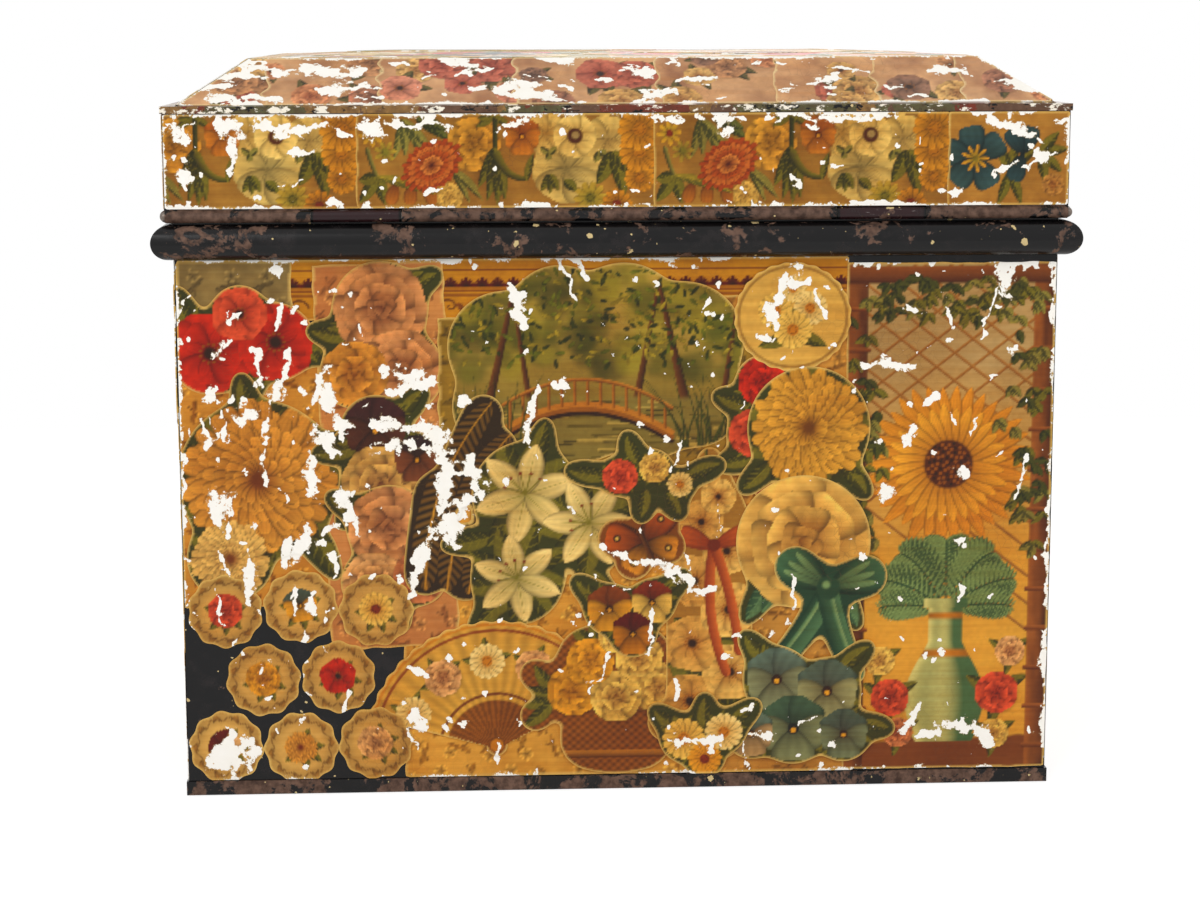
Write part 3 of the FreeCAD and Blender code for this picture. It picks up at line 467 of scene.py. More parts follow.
# %% Iron and brass
def metal(name, clean, stained, roughness):
    made, tree, shader = start_material(name)
    stain = ramp(tree, noise(tree, object_place(tree), 150.0, 6.0, 0.65), 0.42, 0.66)
    scratch = noise(tree, object_place(tree, (900.0, 60.0, 900.0)), 1.0, 2.0)
    rough = ramp(tree, stain, 0.0, 1.0, roughness, roughness + 0.28)
    fill(tree, shader, {"Base Color": mixed(tree, stain, paint(clean), paint(stained)),
                        "Roughness": plus(tree, rough, times(tree, scratch, 0.12)),
                        "Metallic": ramp(tree, stain, 0.0, 1.0, 1.0, 0.55),
                        "Normal": bump(tree, plus(tree, scratch, stain), 0.2, 0.1 * MM)})
    return made


dark_iron = metal("dark_iron", "8A8078", "4A3A30", 0.34)
aged_brass = metal("aged_brass", "E0B45C", "8A6230", 0.24)
print("metals:", dark_iron.name, "and", aged_brass.name)

# %% [markdown]
# Each CAD node keeps its shape and gets its finish in its material slot. Most take the finish of their slot in
# the record, and the sheets and trims with a look of their own go by their names.

# %% Finish the CAD nodes
slot_finishes = {"papered_tin": wall_sheet, "black_japan": black_japan, "iron": dark_iron, "brass": aged_brass}
own_finishes = {"lid_skirt": skirt_sheet, "lid_slope": slope_sheet, "lid_top_panel": top_sheet,
                "base_plate": base_sheet, "hinge_leaf": hinge_japan, "base_rim": rubbed_japan}
for part in frame["record"]["subparts"]:
    name = part["node"]
    finish = slot_finishes[part["material_slot"]]
    for start, own in own_finishes.items():
        if name.startswith(start):
            finish = own
    nodes[name].data.materials.clear()
    nodes[name].data.materials.append(finish)


# %% [markdown]
# ## The faces that carry paper
# A scrap is drawn flat, in millimetres across and up a face of the box, and then laid on it. A face knows where
# it lies in space, how far it reaches, and how worn it is.

# %% Faces
CELL = 1.5
UNWORN = -1.4
CROWN_RUN = 60.0
TABLE = 64


def cloud(x, y, size, seed):
    """Smooth random values from -1 to 1, in lumps about size wide."""
    table = np.random.default_rng(seed).uniform(-1, 1, (TABLE, TABLE))
    left, low = np.floor(x / size).astype(int), np.floor(y / size).astype(int)
    s, t = x / size - left, y / size - low
    s, t = s * s * (3 - 2 * s), t * t * (3 - 2 * t)
    rows = [table[left % TABLE, (low + k) % TABLE] * (1 - s) + table[(left + 1) % TABLE, (low + k) % TABLE] * s
            for k in (0, 1)]
    return rows[0] * (1 - t) + rows[1] * t


class Face:
    """One papered side: its frame in space, its reach in millimetres, its scrapes and how many papers lie where."""

    def __init__(self, body, spot, across, up, half, low, high, step, taper=0.0, crown=0.0):
        self.body, self.step, self.crown = body, step, crown
        self.spot, self.across, self.up = (np.array(v, float) for v in (spot, across, up))
        self.out = np.cross(self.across, self.up)
        self.half, self.low, self.high, self.taper = half, low, high, taper
        self.scrapes, self.notch = [], None
        self.layers = np.zeros((int(2 * half / CELL) + 2, int((high - low) / CELL) + 2), int)

    def beyond(self, u, v):
        """How far a point lies outside the face, below 0 inside."""
        side = (np.abs(u) - self.half + self.taper * (v - self.low)) / math.hypot(1.0, self.taper)
        outside = np.maximum(side, np.maximum(self.low - v, v - self.high))
        if self.notch:
            middle, foot, half = self.notch
            outside = np.maximum(outside, half - np.hypot(u - middle, np.minimum(v - foot - half, 0)))
        return outside

    def in_space(self, u, v, lift):
        """Where a point of the face lies in metres; a crowned face rises from its edges."""
        edge = np.minimum(self.half - np.abs(u), self.high - np.abs(v))
        lift = lift + self.crown * np.clip(edge / CROWN_RUN, 0, 1)
        flat = self.spot + MM * (u[:, None] * self.across + v[:, None] * self.up)
        return flat + MM * lift[:, None] * self.out

    def wear(self, u, v):
        """1 in the middle of a scrape, 0 at its edge and below 0 outside; the face's edges wear too."""
        worn = np.full(len(u), UNWORN)
        fray = 1 + 0.5 * cloud(u, v, 5.0, 4) + 0.5 * cloud(u, v, 1.9, 5)
        breaks = 1.1 * np.clip(cloud(u, v, 5.0, 6) - 0.1, 0, 1)
        bent_u = u + 1.9 * cloud(u, v, 5.5, 7) + 0.9 * cloud(u, v, 2.2, 8)
        bent_v = v + 1.9 * cloud(u, v, 5.5, 9) + 0.9 * cloud(u, v, 2.2, 10)
        for u0, v0, u1, v1, half in self.scrapes:
            reach = 4 * half
            near = np.flatnonzero((u > min(u0, u1) - reach) & (u < max(u0, u1) + reach)
                                  & (v > min(v0, v1) - reach) & (v < max(v0, v1) + reach))
            run_u, run_v = u1 - u0, v1 - v0
            at_u, at_v = bent_u[near] - u0, bent_v[near] - v0
            t = np.clip((at_u * run_u + at_v * run_v) / (run_u ** 2 + run_v ** 2 + 1e-9), 0, 1)
            far = np.hypot(at_u - t * run_u, at_v - t * run_v)
            wide = half * fray[near] * (0.55 + 0.6 * np.sin(math.pi * (0.12 + 0.76 * t)))
            worn[near] = np.maximum(worn[near], 1 - far / wide - breaks[near])
        rim = 0.25 + self.beyond(u, v) / 2.2 + 0.9 * cloud(u, v, 11.0, 3)
        return np.clip(np.maximum(worn, rim), UNWORN, 1)

    def next_layer(self, u, v):
        """Lays one more paper over these points and says which layer it is."""
        across, up = np.clip((u + self.half) / CELL, 0, None), np.clip((v - self.low) / CELL, 0, None)
        spots = across.astype(int), up.astype(int)
        layer = self.layers[spots].max() + 1
        self.layers[spots] = layer
        return layer


print("faces ready")

# %% [markdown]
# The walls run from the base rim to the roll moulding, the skirts from the rolled bead to the rim, and the slopes
# from the ledge to the top panel. The photographed back gets the finest grid, about one point to a pixel. On the
# front the paper is trimmed round the brass lock plate.

# %% Place the faces
FINE, SLOPE_FINE, PLAIN, COARSE = 0.75, 0.8, 1.2, 1.4
SKIRT_FOOT = 274.8
LEDGE, RISE, SHEET = 5.3 * MM, 20.8 * MM, 0.8 * MM
CROWN = 1.8
TRIM = 1.6
UP = np.array((0.0, 0.0, 1.0))
wall_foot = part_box("base_rim_back")[1].z / MM
wall_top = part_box("roll_moulding_back")[0].z / MM
skirt_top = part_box("lid_slope_back")[0].z / MM
panel_low, panel_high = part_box("lid_top_panel")
slope_foot = panel_low.z + SHEET - RISE
run = skirt_y - LEDGE - panel_high.y
slant = math.hypot(run, RISE)
faces = {}
for side, across, out in (("back", (1, 0, 0), (0, -1, 0)), ("front", (-1, 0, 0), (0, 1, 0)),
                          ("left", (0, -1, 0), (-1, 0, 0)), ("right", (0, 1, 0), (1, 0, 0))):
    out = np.array(out, float)
    long = side in ("back", "front")
    wall, skirt, wall_half, skirt_half = (
        (wall_y, skirt_y, wall_x, skirt_x) if long else (wall_x, skirt_x, wall_y, skirt_y))
    step, slope_step = (FINE, SLOPE_FINE) if side == "back" else (PLAIN, PLAIN)
    faces[side] = Face("box_body", wall * out, across, UP, wall_half / MM, wall_foot, wall_top, step)
    faces["skirt_" + side] = Face("lid", skirt * out, across, UP, skirt_half / MM, SKIRT_FOOT, skirt_top, step)
    faces["slope_" + side] = Face(
        "lid", (skirt - LEDGE) * out + slope_foot * UP, across, (RISE * UP - run * out) / slant,
        (skirt_half - LEDGE) / MM, 0.0, slant / MM, slope_step, run / slant)
faces["top"] = Face("lid", (slope_foot + RISE) * UP, (1, 0, 0), (0, 1, 0), panel_high.x / MM,
                    -panel_high.y / MM, panel_high.y / MM, COARSE, crown=CROWN)
plate_low, plate_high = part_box("escutcheon")
faces["front"].notch = (0.0, plate_low.z / MM - TRIM, plate_high.x / MM + TRIM)
print({name: (round(face.half, 1), round(face.low, 1), round(face.high, 1)) for name, face in faces.items()})


# %% [markdown]
# ## Drawing a print
# Old scraps were printed in many soft flat colours. A print here is a list of points with a colour each. Petals,
# leaves, strokes and dabs are laid over one another as a painter would, from the back to the front.

# %% Lines and tones
ALL = slice(None)


def smooth(edge, soft):
    """1 inside an edge, where edge is below 0, and 0 outside, with a soft change."""
    t = np.clip(0.5 - edge / soft, 0, 1)
    return t * t * (3 - 2 * t)


def between(first, second, share):
    """Colours from first to second, one for each share."""
    return first + (second - first) * share[:, None]


def bend(start, middle, end, count=14):
    """Points along a curve that leaves start and reaches end, drawn towards middle."""
    t = np.linspace(0, 1, count)[:, None]
    start, middle, end = (np.array(v, float) for v in (start, middle, end))
    return start * (1 - t) ** 2 + 2 * middle * t * (1 - t) + end * t ** 2


def away(x, y, turn, far):
    return x + far * math.cos(turn), y + far * math.sin(turn)


def spokes(count, start=0.0):
    return [start + k * math.tau / count for k in range(count)]


print("lines and tones ready")


# %% The print
class Print:
    """The colours of a scrap at its points a, b, in millimetres from its middle."""

    def __init__(self, a, b, card):
        self.a, self.b = a, b
        self.rgb = np.repeat(np.array(card, float)[None, :], len(a), axis=0)

    def near(self, x, y, reach):
        return np.flatnonzero((np.abs(self.a - x) < reach) & (np.abs(self.b - y) < reach))

    def along(self, x, y, turn, length):
        """The points near a petal or leaf that starts at x, y: which, how far along it, and how far to its side."""
        spots = self.near(x, y, length * 1.02)
        dx, dy = self.a[spots] - x, self.b[spots] - y
        c, s = math.cos(turn), math.sin(turn)
        return spots, (dx * c + dy * s) / length, dy * c - dx * s

    def lay(self, spots, colour, cover):
        self.rgb[spots] += (colour - self.rgb[spots]) * cover[:, None]

    def line(self, far, half, colour, cover, soft=0.6):
        """A line over the whole print, where far is the distance of each point from it."""
        self.lay(ALL, colour, cover * smooth(np.abs(far) - half, soft))

    def dab(self, x, y, r, colour, soft=0.8, cover=1.0, squash=1.0):
        spots = self.near(x, y, r * max(1, 1 / squash) + soft)
        far = np.hypot(self.a[spots] - x, (self.b[spots] - y) * squash)
        self.lay(spots, colour, cover * smooth(far - r, soft))

    def petal(self, x, y, turn, length, width, base, tip, point=0.4, fade=1.0, line=0.5):
        """A petal from its base at x, y, shaded from base to tip, darker at its edges and finely veined."""
        spots, t, w = self.along(x, y, turn, length)
        inner = np.clip(t, 0.002, 0.998)
        peak = 0.7 / (0.7 + point)
        half = width / 2 * (inner / peak) ** 0.7 * ((1 - inner) / (1 - peak)) ** point
        side = np.clip(w / np.maximum(half, 0.2), -1, 1)
        veins = 0.10 * side + 0.07 * np.cos(side * 11)
        shade = 1 + veins - line * np.abs(side) ** 5 - 0.22 * np.clip(0.25 - inner, 0, 1)
        cover = smooth(np.abs(w) - half, 0.6) * (t > 0) * (t < 1)
        self.lay(spots, between(base, tip, inner ** fade) * shade[:, None], cover)

    def leaf(self, x, y, turn, length, width, dark, light):
        """A pointed leaf, one half lit, with a pale rib and side veins."""
        spots, t, w = self.along(x, y, turn, length)
        w = w - 0.12 * length * t * (1 - t)
        inner = np.clip(t, 0.002, 0.998)
        half = width / 2 * (inner / 0.42) ** 0.6 * ((1 - inner) / 0.58) ** 0.83
        side = w / np.maximum(half, 0.2)
        veins = np.abs((inner * 6 - np.abs(side) * 0.9) % 1 - 0.5)
        lit = 0.5 + 0.6 * np.sign(side) * (0.35 + 0.3 * np.abs(side)) + 0.5 * (veins < 0.1)
        tone = between(dark, light, np.clip(lit, 0, 1))
        tone = between(tone, light * 1.25, smooth(np.abs(w) - 0.18, 0.5) * 0.6)
        edge = 1 - 0.4 * np.abs(np.clip(side, -1, 1)) ** 6
        self.lay(spots, tone * edge[:, None], smooth(np.abs(w) - half, 0.6) * (t > 0) * (t < 1))

    def stroke(self, points, width, colour, taper=0.0, light=None, barbs=0.0):
        """A brush stroke along points; light shades it across, and barbs draws the strands of a plume."""
        points = np.asarray(points, float)
        low, high = points.min(0) - width, points.max(0) + width
        spots = np.flatnonzero((self.a > low[0]) & (self.a < high[0]) & (self.b > low[1]) & (self.b < high[1]))
        place = np.stack((self.a[spots], self.b[spots]), 1)
        best, along, side = np.full(len(spots), 1e9), np.zeros(len(spots)), np.zeros(len(spots))
        for index, (p, q) in enumerate(zip(points[:-1], points[1:])):
            step = q - p
            t = np.clip((place - p) @ step / (step @ step + 1e-9), 0, 1)
            off = place - p - t[:, None] * step
            far = np.hypot(off[:, 0], off[:, 1])
            closer = far < best
            best[closer] = far[closer]
            along[closer] = (index + t[closer]) / (len(points) - 1)
            side[closer] = np.sign(step[0] * off[closer, 1] - step[1] * off[closer, 0])
        half = np.maximum(width / 2 * (1 - taper * along), 0.05)
        if barbs:
            half = half * np.sqrt(np.clip(1.02 - (2 * along - 1) ** 4, 0, 1))
        across = side * best / half
        tone = np.repeat(np.array(colour, float)[None, :], len(spots), axis=0)
        if light is not None:
            strand = np.cos(along * barbs + np.abs(across) * 7) if barbs else across
            tone = between(tone, light, np.clip(0.5 + 0.5 * strand, 0, 1))
        self.lay(spots, tone, smooth(best - half, 0.6))


CREAM, CARD, CHALK, BUFF = ink("EBDBB0"), ink("D6BC86"), ink("F4ECD6"), ink("E8CFA0")
GOLD, DEEP_GOLD, YELLOW, PALE = ink("C98F2C"), ink("96601A"), ink("E2B445"), ink("F0DC9C")
STRAW, OCHRE_DEEP, OCHRE_PALE = ink("C8A050"), ink("8E5220"), ink("DDAE62")
MAROON, RED, DEEP_RED, ROSE = ink("6A1E14"), ink("CF3A26"), ink("7C1712"), ink("E0695A")
PINK, BLUSH, RUST = ink("D99A86"), ink("ECC8B2"), ink("8A3C1C")
PEONY_DEEP, PEONY = ink("7E4A40"), ink("DDB09C")
OLIVE, LEAF, DEEP_LEAF, SAGE = ink("84863A"), ink("566030"), ink("28311A"), ink("9A9C66")
TEAL, DEEP_TEAL, SLATE = ink("6A9488"), ink("2A504E"), ink("67839A")
LILAC, BROWN, DEEP_BROWN = ink("B7A69E"), ink("7A5230"), ink("38210F")
print("print colours ready")


# %% [markdown]
# ## Flowers and leaves
# Each flower is a few rings of petals, drawn from the outside in. A rose has broad blunt petals round a furled
# heart, a chrysanthemum many narrow ones, a pansy five with a dark blotch.

# %% Flowers
# A ring: how many petals, how far out they start, their length and width. A petal: its turn, length and width.
ROSE_RINGS = ((6, 0.10, 0.90, 1.05), (5, 0.06, 0.72, 0.9), (5, 0.0, 0.55, 0.7))
PANSY_PETALS = ((2.15, 1.0, 1.15), (1.0, 1.0, 1.15), (3.3, 0.92, 1.05), (-0.15, 0.92, 1.05), (-1.57, 0.98, 1.3))


def rose(p, x, y, r, deep, pale, seed=0):
    p.dab(x + 0.06 * r, y - 0.1 * r, r * 0.98, DEEP_BROWN, r * 0.25, 0.35)
    for ring, (count, out, length, width) in enumerate(ROSE_RINGS):
        for k, turn in enumerate(spokes(count, seed * 1.3 + ring * 0.65)):
            tip = np.clip(pale * (0.82 + 0.18 * ((k * 2 + ring) % 3)), 0, 1)
            p.petal(*away(x, y, turn, out * r), turn, length * r, width * r, deep, tip, 0.2, 1.5)
    for k in range(5):
        turn, size = seed + k * 2.3, r * (0.36 - 0.055 * k)
        p.petal(*away(x, y, turn, -0.6 * size), turn, size * 1.5, size * 1.6,
                deep * 0.75, (deep + pale) / 2, 0.2, 1.3)


def chrysanthemum(p, x, y, r, deep, pale, seed=0, rings=5):
    random = np.random.default_rng(seed + 50)
    p.dab(x + 0.05 * r, y - 0.08 * r, r * 0.9, DEEP_BROWN, r * 0.3, 0.4)
    for ring in range(rings):
        share = 1 - 0.82 * ring / rings
        count = int(12 + 22 * share)
        width = math.tau * r * share / count * 1.35
        for turn in spokes(count, 0.5 * (ring % 2) * math.tau / count):
            turn += random.normal(0, 0.05)
            length = r * share * random.uniform(0.88, 1.03)
            tip = np.clip(pale * random.uniform(0.82, 1.1), 0, 1)
            p.petal(x, y, turn, length, width, deep, tip, 0.3, 1.4, 0.6)
    p.dab(x, y, r * 0.1, deep * 0.7, r * 0.1)


def daisy(p, x, y, r, base, tip, heart, count=15):
    for turn in spokes(count, 0.1):
        p.petal(x, y, turn, r, r * 0.42, base, tip, 0.3, 0.8, 0.6)
    p.dab(x, y, r * 0.3, heart, 0.5)
    for k in range(9):
        p.dab(*away(x, y, k * 0.7, r * 0.2), r * 0.045, heart * 0.45, 0.4)


def pansy(p, x, y, r, upper, lower, blotch):
    for k, (turn, length, width) in enumerate(PANSY_PETALS):
        p.petal(x, y, turn, length * r, width * r, blotch, upper if k < 2 else lower, 0.2, 0.55, 0.5)
    p.dab(x, y, r * 0.17, blotch, 0.6)
    p.dab(x, y - r * 0.04, r * 0.08, YELLOW, 0.5)


def poppy(p, x, y, r, deep, pale, seed=0):
    fold = pale * 0.9 + deep * 0.1
    for ring, (count, length, width) in enumerate(((5, 1.0, 1.25), (4, 0.78, 1.1))):
        for turn in spokes(count, seed + ring * 0.7):
            p.petal(x, y, turn, length * r, width * r, deep, pale, 0.16, 0.9, 0.35)
            p.petal(x, y, turn + 0.2, length * r * 0.8, width * r * 0.3, deep, fold, 0.5, 1.0, 0.4)
    p.dab(x, y, r * 0.17, DEEP_BROWN, r * 0.12)
    for k in range(11):
        p.dab(*away(x, y, k * 0.571, r * 0.24), r * 0.035, DEEP_GOLD, 0.5)


def lily(p, x, y, r, turn=0.0):
    for ring in (0, 1):
        for way in spokes(3, turn + ring * math.pi / 3):
            p.petal(x, y, way, r, r * 0.5, SAGE * 0.8, CHALK, 0.75, 0.5, 0.5)
            p.stroke(((x, y), away(x, y, way, r * 0.8)), 0.7, SAGE, 0.8)
    for k in range(5):
        end = away(x, y, turn + 0.5 + k * 0.5, r * 0.42)
        p.stroke(((x, y), end), 0.6, OLIVE)
        p.dab(*end, 0.9, RUST, 0.5, 1.0, 1.4)


def leaves(p, x, y, turns, length, width=0.38, dark=DEEP_LEAF, light=OLIVE):
    for turn in turns:
        p.leaf(x, y, math.radians(turn), length, length * width, dark, light)


print("flowers: rose, chrysanthemum, daisy, pansy, poppy, lily")


# %% [markdown]
# ## Cutting and pasting a scrap
# A scrap starts as a grid. Its points outside the cut are deleted, those on the edge are pulled onto the cut
# line, and the edge is extruded down to the tin and closed, so the paper has a thickness. On the crowned top
# the whole sheet is extruded instead, because a flat back would cut through the crown. Then its points get
# their ink and wear and are laid on the face. A scrap's own object stays at the origin.

# %% Cut lines
MELT = 2.6


def die_cut(blobs, cut=2.2):
    """The reach and the cut line of a scrap that follows its flowers: blobs of x, y and radius, run together."""
    def edge(a, b):
        total = np.zeros(len(a))
        for x, y, r in blobs:
            total += np.exp(np.clip((r + cut - np.hypot(a - x, b - y)) / MELT, -60, 60))
        return -MELT * np.log(total + 1e-26)
    return [max(abs(blob[k]) + blob[2] for blob in blobs) + cut + 3.0 for k in (0, 1)], edge


def card_edge(w, h, wave=0.35, seed=1):
    return lambda a, b: np.maximum(np.abs(a) - w, np.abs(b) - h) + wave * cloud(a + 40, b + 40, 6.0, seed)


def oval_edge(w, h, scallops=0, depth=0.0):
    def edge(a, b):
        turn = np.arctan2(b / h, a / w)
        return (np.hypot(a / w, b / h) - 1 + depth * np.cos(scallops * turn)) * min(w, h)
    return edge


print("cut lines: round the flowers, a card and an oval")


# %% Scissors
def selected(piece, mask):
    """Selects the points of mask, and no others, and goes into edit mode."""
    for group in (piece.data.edges, piece.data.polygons):
        group.foreach_set("select", np.zeros(len(group), bool))
    piece.data.vertices.foreach_set("select", mask)
    bpy.ops.object.mode_set(mode="EDIT")


def points_of(piece):
    flat = np.empty(len(piece.data.vertices) * 3, np.float32)
    piece.data.vertices.foreach_get("co", flat)
    return flat.reshape(-1, 3).astype(float)


def move_points(piece, points):
    piece.data.vertices.foreach_set("co", points.astype(np.float32).ravel())


def cut_sheet(name, reach, cut, step):
    """A flat grid cut to its line: the piece, its points, and which of them are on the rim."""
    bpy.ops.object.select_all(action="DESELECT")
    bpy.ops.mesh.primitive_grid_add(x_subdivisions=int(2 * reach[0] / step) + 1,
                                    y_subdivisions=int(2 * reach[1] / step) + 1, size=2.0)
    piece = bpy.context.object
    piece.name = name
    piece.data.name = name
    bpy.ops.object.mode_set(mode="EDIT")
    bpy.ops.transform.resize(value=(reach[0], reach[1], 1.0))
    bpy.ops.object.mode_set(mode="OBJECT")
    flat = points_of(piece)
    selected(piece, cut(flat[:, 0], flat[:, 1]) > 0.1 * step)
    bpy.ops.mesh.delete(type="VERT")
    bpy.ops.mesh.select_all(action="SELECT")
    bpy.ops.mesh.delete_loose()
    bpy.ops.mesh.select_all(action="DESELECT")
    bpy.ops.mesh.select_non_manifold(extend=False, use_wire=True, use_multi_face=False, use_non_contiguous=False)
    bpy.ops.object.mode_set(mode="OBJECT")
    flat = points_of(piece)
    rim = np.empty(len(flat), bool)
    piece.data.vertices.foreach_get("select", rim)
    probe = 0.1
    for _ in range(2):
        a, b = flat[rim, 0], flat[rim, 1]
        far = cut(a, b)
        slope_a, slope_b = (cut(a + probe, b) - far) / probe, (cut(a, b + probe) - far) / probe
        steep = np.maximum(slope_a ** 2 + slope_b ** 2, 0.3)
        shift = np.clip(far, -step, step) / steep
        flat[rim, 0] -= shift * slope_a
        flat[rim, 1] -= shift * slope_b
    move_points(piece, flat)
    return piece, flat, rim


def thicken(piece, rim, depth, whole):
    """Extrudes the rim down and closes it with one flat back, or extrudes the whole sheet."""
    selected(piece, rim)
    if whole:
        bpy.ops.mesh.select_all(action="SELECT")
    bpy.ops.mesh.extrude_region_move(TRANSFORM_OT_translate={"value": (0.0, 0.0, -depth)})
    if not whole:
        bpy.ops.mesh.edge_face_add()
    bpy.ops.mesh.select_all(action="SELECT")
    bpy.ops.mesh.normals_make_consistent(inside=False)
    bpy.ops.object.mode_set(mode="OBJECT")


print("scissors ready")

# %% Paste
PAPER, PASTE, MARGIN = 0.1, 0.02, 0.4
COCKLE = 0.04
SMOOTH_ANGLE = math.radians(40)
INK_GAIN, INK_GAMMA = 1.12, 1.18
CUT_EDGE = 0.7
scraps = []


def paste(name, face, at, reach, edge, draw, turn=0.0, card=CARD, step=None):
    """Cuts a scrap, prints it and lays it on a face, over the papers that are there."""
    face = faces[face]
    c, s = math.cos(math.radians(turn)), math.sin(math.radians(turn))

    def on_face(a, b):
        return at[0] + a * c - b * s, at[1] + a * s + b * c

    def cut(a, b):
        return np.maximum(edge(a, b), face.beyond(*on_face(a, b)) + MARGIN)

    piece, flat, rim = cut_sheet(name, reach, cut, step or face.step)
    lift = PAPER * face.next_layer(*on_face(flat[:, 0], flat[:, 1])) + PASTE
    thicken(piece, rim, lift, whole=face.crown > 0)

    a, b, depth = points_of(piece).T
    u, v = on_face(a, b)
    sheet = Print(a, b, card)
    draw(sheet)
    seed = len(scraps)
    shade = 1 + 0.07 * cloud(u, v, 1.6, seed) + 0.10 * cloud(u, v, 17.0, seed + 1)
    sheet.rgb = INK_GAIN * np.clip(sheet.rgb, 0, 1) ** INK_GAMMA * shade[:, None]
    sheet.lay(ALL, CREAM, 0.85 * smooth(-cut(a, b) - CUT_EDGE, 0.5))
    colour = np.ones((len(a), 4), np.float32)
    colour[:, :3] = np.clip(sheet.rgb, 0, 1)
    ink_layer = piece.data.color_attributes.new("ink", "FLOAT_COLOR", "POINT")
    ink_layer.data.foreach_set("color", colour.ravel())
    wear_layer = piece.data.attributes.new("wear", "FLOAT", "POINT")
    wear_layer.data.foreach_set("value", face.wear(u, v).astype(np.float32))
    cockle = COCKLE * (1 + cloud(u, v, 14.0, 9)) * (depth > -0.5 * lift)
    move_points(piece, face.in_space(u, v, lift + depth + cockle))
    piece.data.update()
    bpy.ops.object.shade_smooth_by_angle(angle=SMOOTH_ANGLE)
    piece.data.materials.clear()
    piece.data.materials.append(top_print if face.crown else slope_print if face.taper else wall_print)
    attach(piece, face.body)
    scraps.append(piece)


print("paste ready, paper", PAPER, "mm thick")


# %% [markdown]
# ## Scrapes
# The back's scrapes were read off the photograph: where each one starts and ends, and how wide it is.
# The other sides can't be seen, so theirs are strewn by a seeded random draw, and denser on the lid, as on the
# photographed side. Small specks are strewn last.

# %% Scrapes on every face
HALF_WIDTH = 0.55


def read_scrapes(face, rows, middle, top, top_v, px_per_mm):
    """Scrapes given in the photograph's pixels; middle and top are the pixels where u is 0 and v is top_v."""
    for x0, y0, x1, y1, width in rows:
        ends = [value for x, y in ((x0, y0), (x1, y1))
                for value in ((x - middle) / px_per_mm, top_v - (y - top) / px_per_mm)]
        faces[face].scrapes.append((*ends, HALF_WIDTH * width / px_per_mm))


def strew_scrapes(face, count, seed, long, wide, turns, lean=0.0):
    """Random scrapes; a lean above 0 gathers them towards the low end of the face's width."""
    random, face = np.random.default_rng(seed), faces[face]
    for _ in range(count):
        u = face.half * (2 * random.uniform() ** (1 + lean) - 1)
        v = random.uniform(face.low, face.high)
        turn, length = math.radians(random.uniform(*turns)), random.uniform(*long)
        face.scrapes.append((u, v, *away(u, v, turn, length), random.uniform(*wide)))


read_scrapes("back", (
    (290, 349, 263, 424, 8), (325, 363, 314, 398, 7), (328, 384, 329, 408, 7), (380, 366, 423, 374, 10),
    (385, 389, 434, 378, 8), (374, 421, 426, 424, 10), (374, 441, 403, 444, 12), (311, 429, 334, 447, 14),
    (334, 412, 342, 438, 11), (308, 452, 311, 493, 10), (434, 427, 443, 478, 14), (443, 478, 437, 516, 13),
    (466, 458, 474, 493, 12), (454, 498, 460, 515, 10), (219, 484, 216, 518, 12), (210, 389, 216, 401, 12),
    (233, 412, 250, 412, 10), (207, 426, 206, 444, 6), (225, 407, 225, 438, 5), (262, 424, 261, 481, 6),
    (259, 346, 265, 384, 5), (506, 292, 523, 323, 10), (532, 392, 520, 447, 5), (456, 397, 464, 397, 9),
    (549, 381, 563, 386, 7), (275, 269, 283, 269, 12), (471, 266, 475, 266, 9), (285, 303, 276, 326, 5),
    (228, 340, 219, 358, 8), (230, 323, 245, 312, 6), (339, 493, 348, 518, 10), (216, 500, 219, 529, 7),
    (226, 517, 226, 537, 4), (245, 549, 245, 600, 6), (285, 534, 282, 560, 8), (305, 526, 296, 557, 12),
    (334, 526, 322, 532, 8), (348, 506, 354, 529, 6), (328, 552, 334, 575, 6), (446, 506, 449, 549, 11),
    (437, 526, 408, 557, 10), (420, 552, 408, 586, 6), (463, 503, 454, 517, 7), (308, 595, 311, 612, 8),
    (288, 575, 291, 600, 3), (403, 672, 423, 678, 5), (403, 715, 414, 730, 10), (225, 741, 216, 773, 22),
    (238, 756, 246, 756, 18), (297, 695, 301, 695, 7), (292, 721, 296, 721, 7), (778, 277, 765, 310, 10),
    (790, 289, 802, 280, 9), (768, 317, 765, 332, 8), (750, 338, 765, 341, 6), (986, 265, 1026, 268, 8),
    (998, 271, 1001, 295, 16), (967, 261, 1029, 263, 4), (836, 266, 894, 265, 4), (854, 366, 909, 366, 8),
    (918, 411, 928, 398, 5), (904, 408, 908, 408, 7), (906, 430, 900, 451, 5), (955, 467, 964, 479, 8),
    (878, 494, 886, 494, 10), (903, 314, 909, 314, 9), (938, 341, 942, 341, 7), (784, 268, 796, 274, 6),
    (600, 546, 631, 564, 6), (640, 563, 686, 584, 9), (686, 595, 707, 593, 6), (661, 750, 719, 745, 6),
    (738, 717, 747, 711, 6), (720, 662, 724, 662, 7), (731, 639, 733, 639, 5), (796, 730, 811, 727, 5),
    (744, 745, 775, 742, 5), (918, 714, 900, 745, 8), (915, 751, 940, 745, 8), (949, 739, 977, 739, 9),
    (977, 739, 992, 760, 11), (952, 546, 958, 546, 10), (1046, 265, 1047, 330, 6), (1047, 500, 1047, 610, 4),
    (1047, 640, 1047, 760, 5), (178, 300, 180, 395, 4), (181, 430, 182, 520, 4), (184, 600, 186, 680, 3)),
    middle=614.5, top=258.5, top_v=252.0, px_per_mm=2.14)
